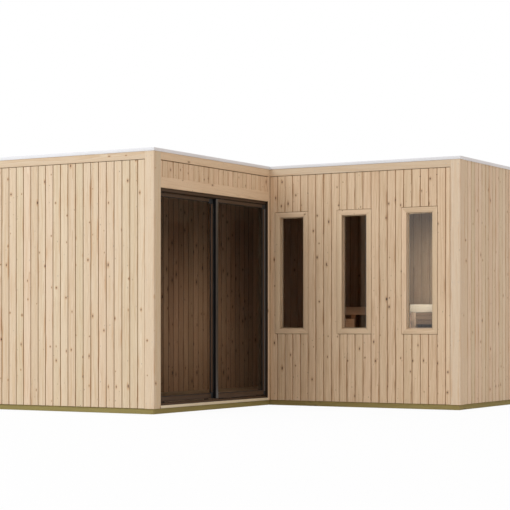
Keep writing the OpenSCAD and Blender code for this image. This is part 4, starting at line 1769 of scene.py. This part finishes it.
@dataclass
class Studio:
    """Floor, lights and camera.

    Attributes:
        camera_place: The camera's place.
        camera_turn: The camera's turn to the left of straight back, in degrees.
        lens: Focal length in millimetres on a 36 mm sensor.
        rise: Upward shift of the view, as a share of its width.
        floor_half: Half the floor's width.
        floor_grey: Brightness of the floor's own colour.
        floor_glow: How far the floor shows plain white to the eye.
        sky: Colour of the surrounding's light.
        hung: The lamps: a large key light, a weak side light and three small ones that hang hidden in
            the dark room.
    """

    camera_place: tuple[float, float, float] = (8.1495, -14.681, 0.801)
    camera_turn: float = 30.622
    lens: float = 113.92
    rise: float = 0.1392
    floor_half: float = 60.0
    floor_grey: float = 0.86
    floor_glow: float = 0.95
    sky: Colour = (0.76, 0.695, 0.67)
    hung: tuple[Lamp, ...] = (
        Lamp("key_light", (-6.0, -15.0, 10.0), (0.0, 0.0, 1.0), (9.0, 9.0), 1150.0, (0.88, 1.0, 1.10)),
        Lamp("side_light", (14.0, -4.0, 7.0), (0.0, 0.0, 1.0), (8.0, 8.0), 60.0, (0.95, 1.0, 1.05)),
        Lamp("bench_light", (0.65, 1.20, 1.44), (0.40, 2.48, 1.37), (0.2, 1.0), 1.45, (0.95, 1.0, 0.96),
             55.0, True),
        Lamp("seat_light", (-0.33, 1.35, 0.80), (-0.33, 1.90, 0.85), (0.15, 0.15), 0.027,
             (1.0, 0.62, 0.42), 40.0, True),
        Lamp("room_light", (-0.75, 0.75, 0.93), (-1.9, 0.95, 0.72), (1.0, 0.9), 1.55,
             (1.0, 0.93, 0.85), 110.0, True))

    def build(self) -> None:
        """Builds the whole studio."""
        self.floor()
        self.world()
        for lamp in self.hung:
            lamp.build()
        self.camera()
        bpy.context.scene.view_settings.view_transform = "Standard"

    def floor(self) -> None:
        """Lays a large pale floor that shows white and keeps a soft shadow."""
        mesh = bpy.data.meshes.new("studio_floor")
        h = self.floor_half
        mesh.from_pydata([(-h, -h, 0), (h, -h, 0), (h, h, 0), (-h, h, 0)], [], [(0, 1, 2, 3)])
        material, t, shader = new_material("studio_floor")
        t.fill(shader, {"Base Color": (self.floor_grey,) * 3, "Roughness": 0.9})
        glow = t.get("ShaderNodeEmission", {"Color": PLAIN, "Strength": 1.0})
        t.surface(t.seen() * self.floor_glow, shader, glow)
        mesh.materials.append(material)
        link("studio_floor", mesh)

    def world(self) -> None:
        """Sets a white surrounding for the eye and a softer one for light."""
        world = bpy.data.worlds.new("studio_world")
        bpy.context.scene.world = world
        world.use_nodes = True
        world.node_tree.nodes.clear()
        t = Tree(world.node_tree)
        tint = t.mix(t.seen(), self.sky, PLAIN)
        sky = t.get("ShaderNodeBackground", {"Color": tint, "Strength": 1.0})
        t.add("ShaderNodeOutputWorld", {0: sky})

    def camera(self) -> None:
        """Sets up the camera, level and with a raised view."""
        data = bpy.data.cameras.new("camera")
        data.sensor_width = 36.0
        data.lens = self.lens
        data.shift_y = self.rise
        data.clip_end = 200.0
        camera = bpy.data.objects.new("camera", data)
        camera.location = self.camera_place
        camera.rotation_euler = (math.radians(90), 0.0, math.radians(self.camera_turn))
        bpy.context.scene.collection.objects.link(camera)
        bpy.context.scene.camera = camera


def main() -> None:
    """Builds the cabin's looks in order, then the studio."""
    logging.basicConfig(level=logging.INFO, format="%(name)s %(message)s")
    dress_panels()
    for assembly in (Base(), Cladding(), Trim(), Windows(), SlidingDoor(), Roof(), Interior()):
        pieces = assembly.build()
        LOG.info("%s: %d pieces", type(assembly).__name__, len(pieces))
    Studio().build()


if __name__ == "__main__":
    main()
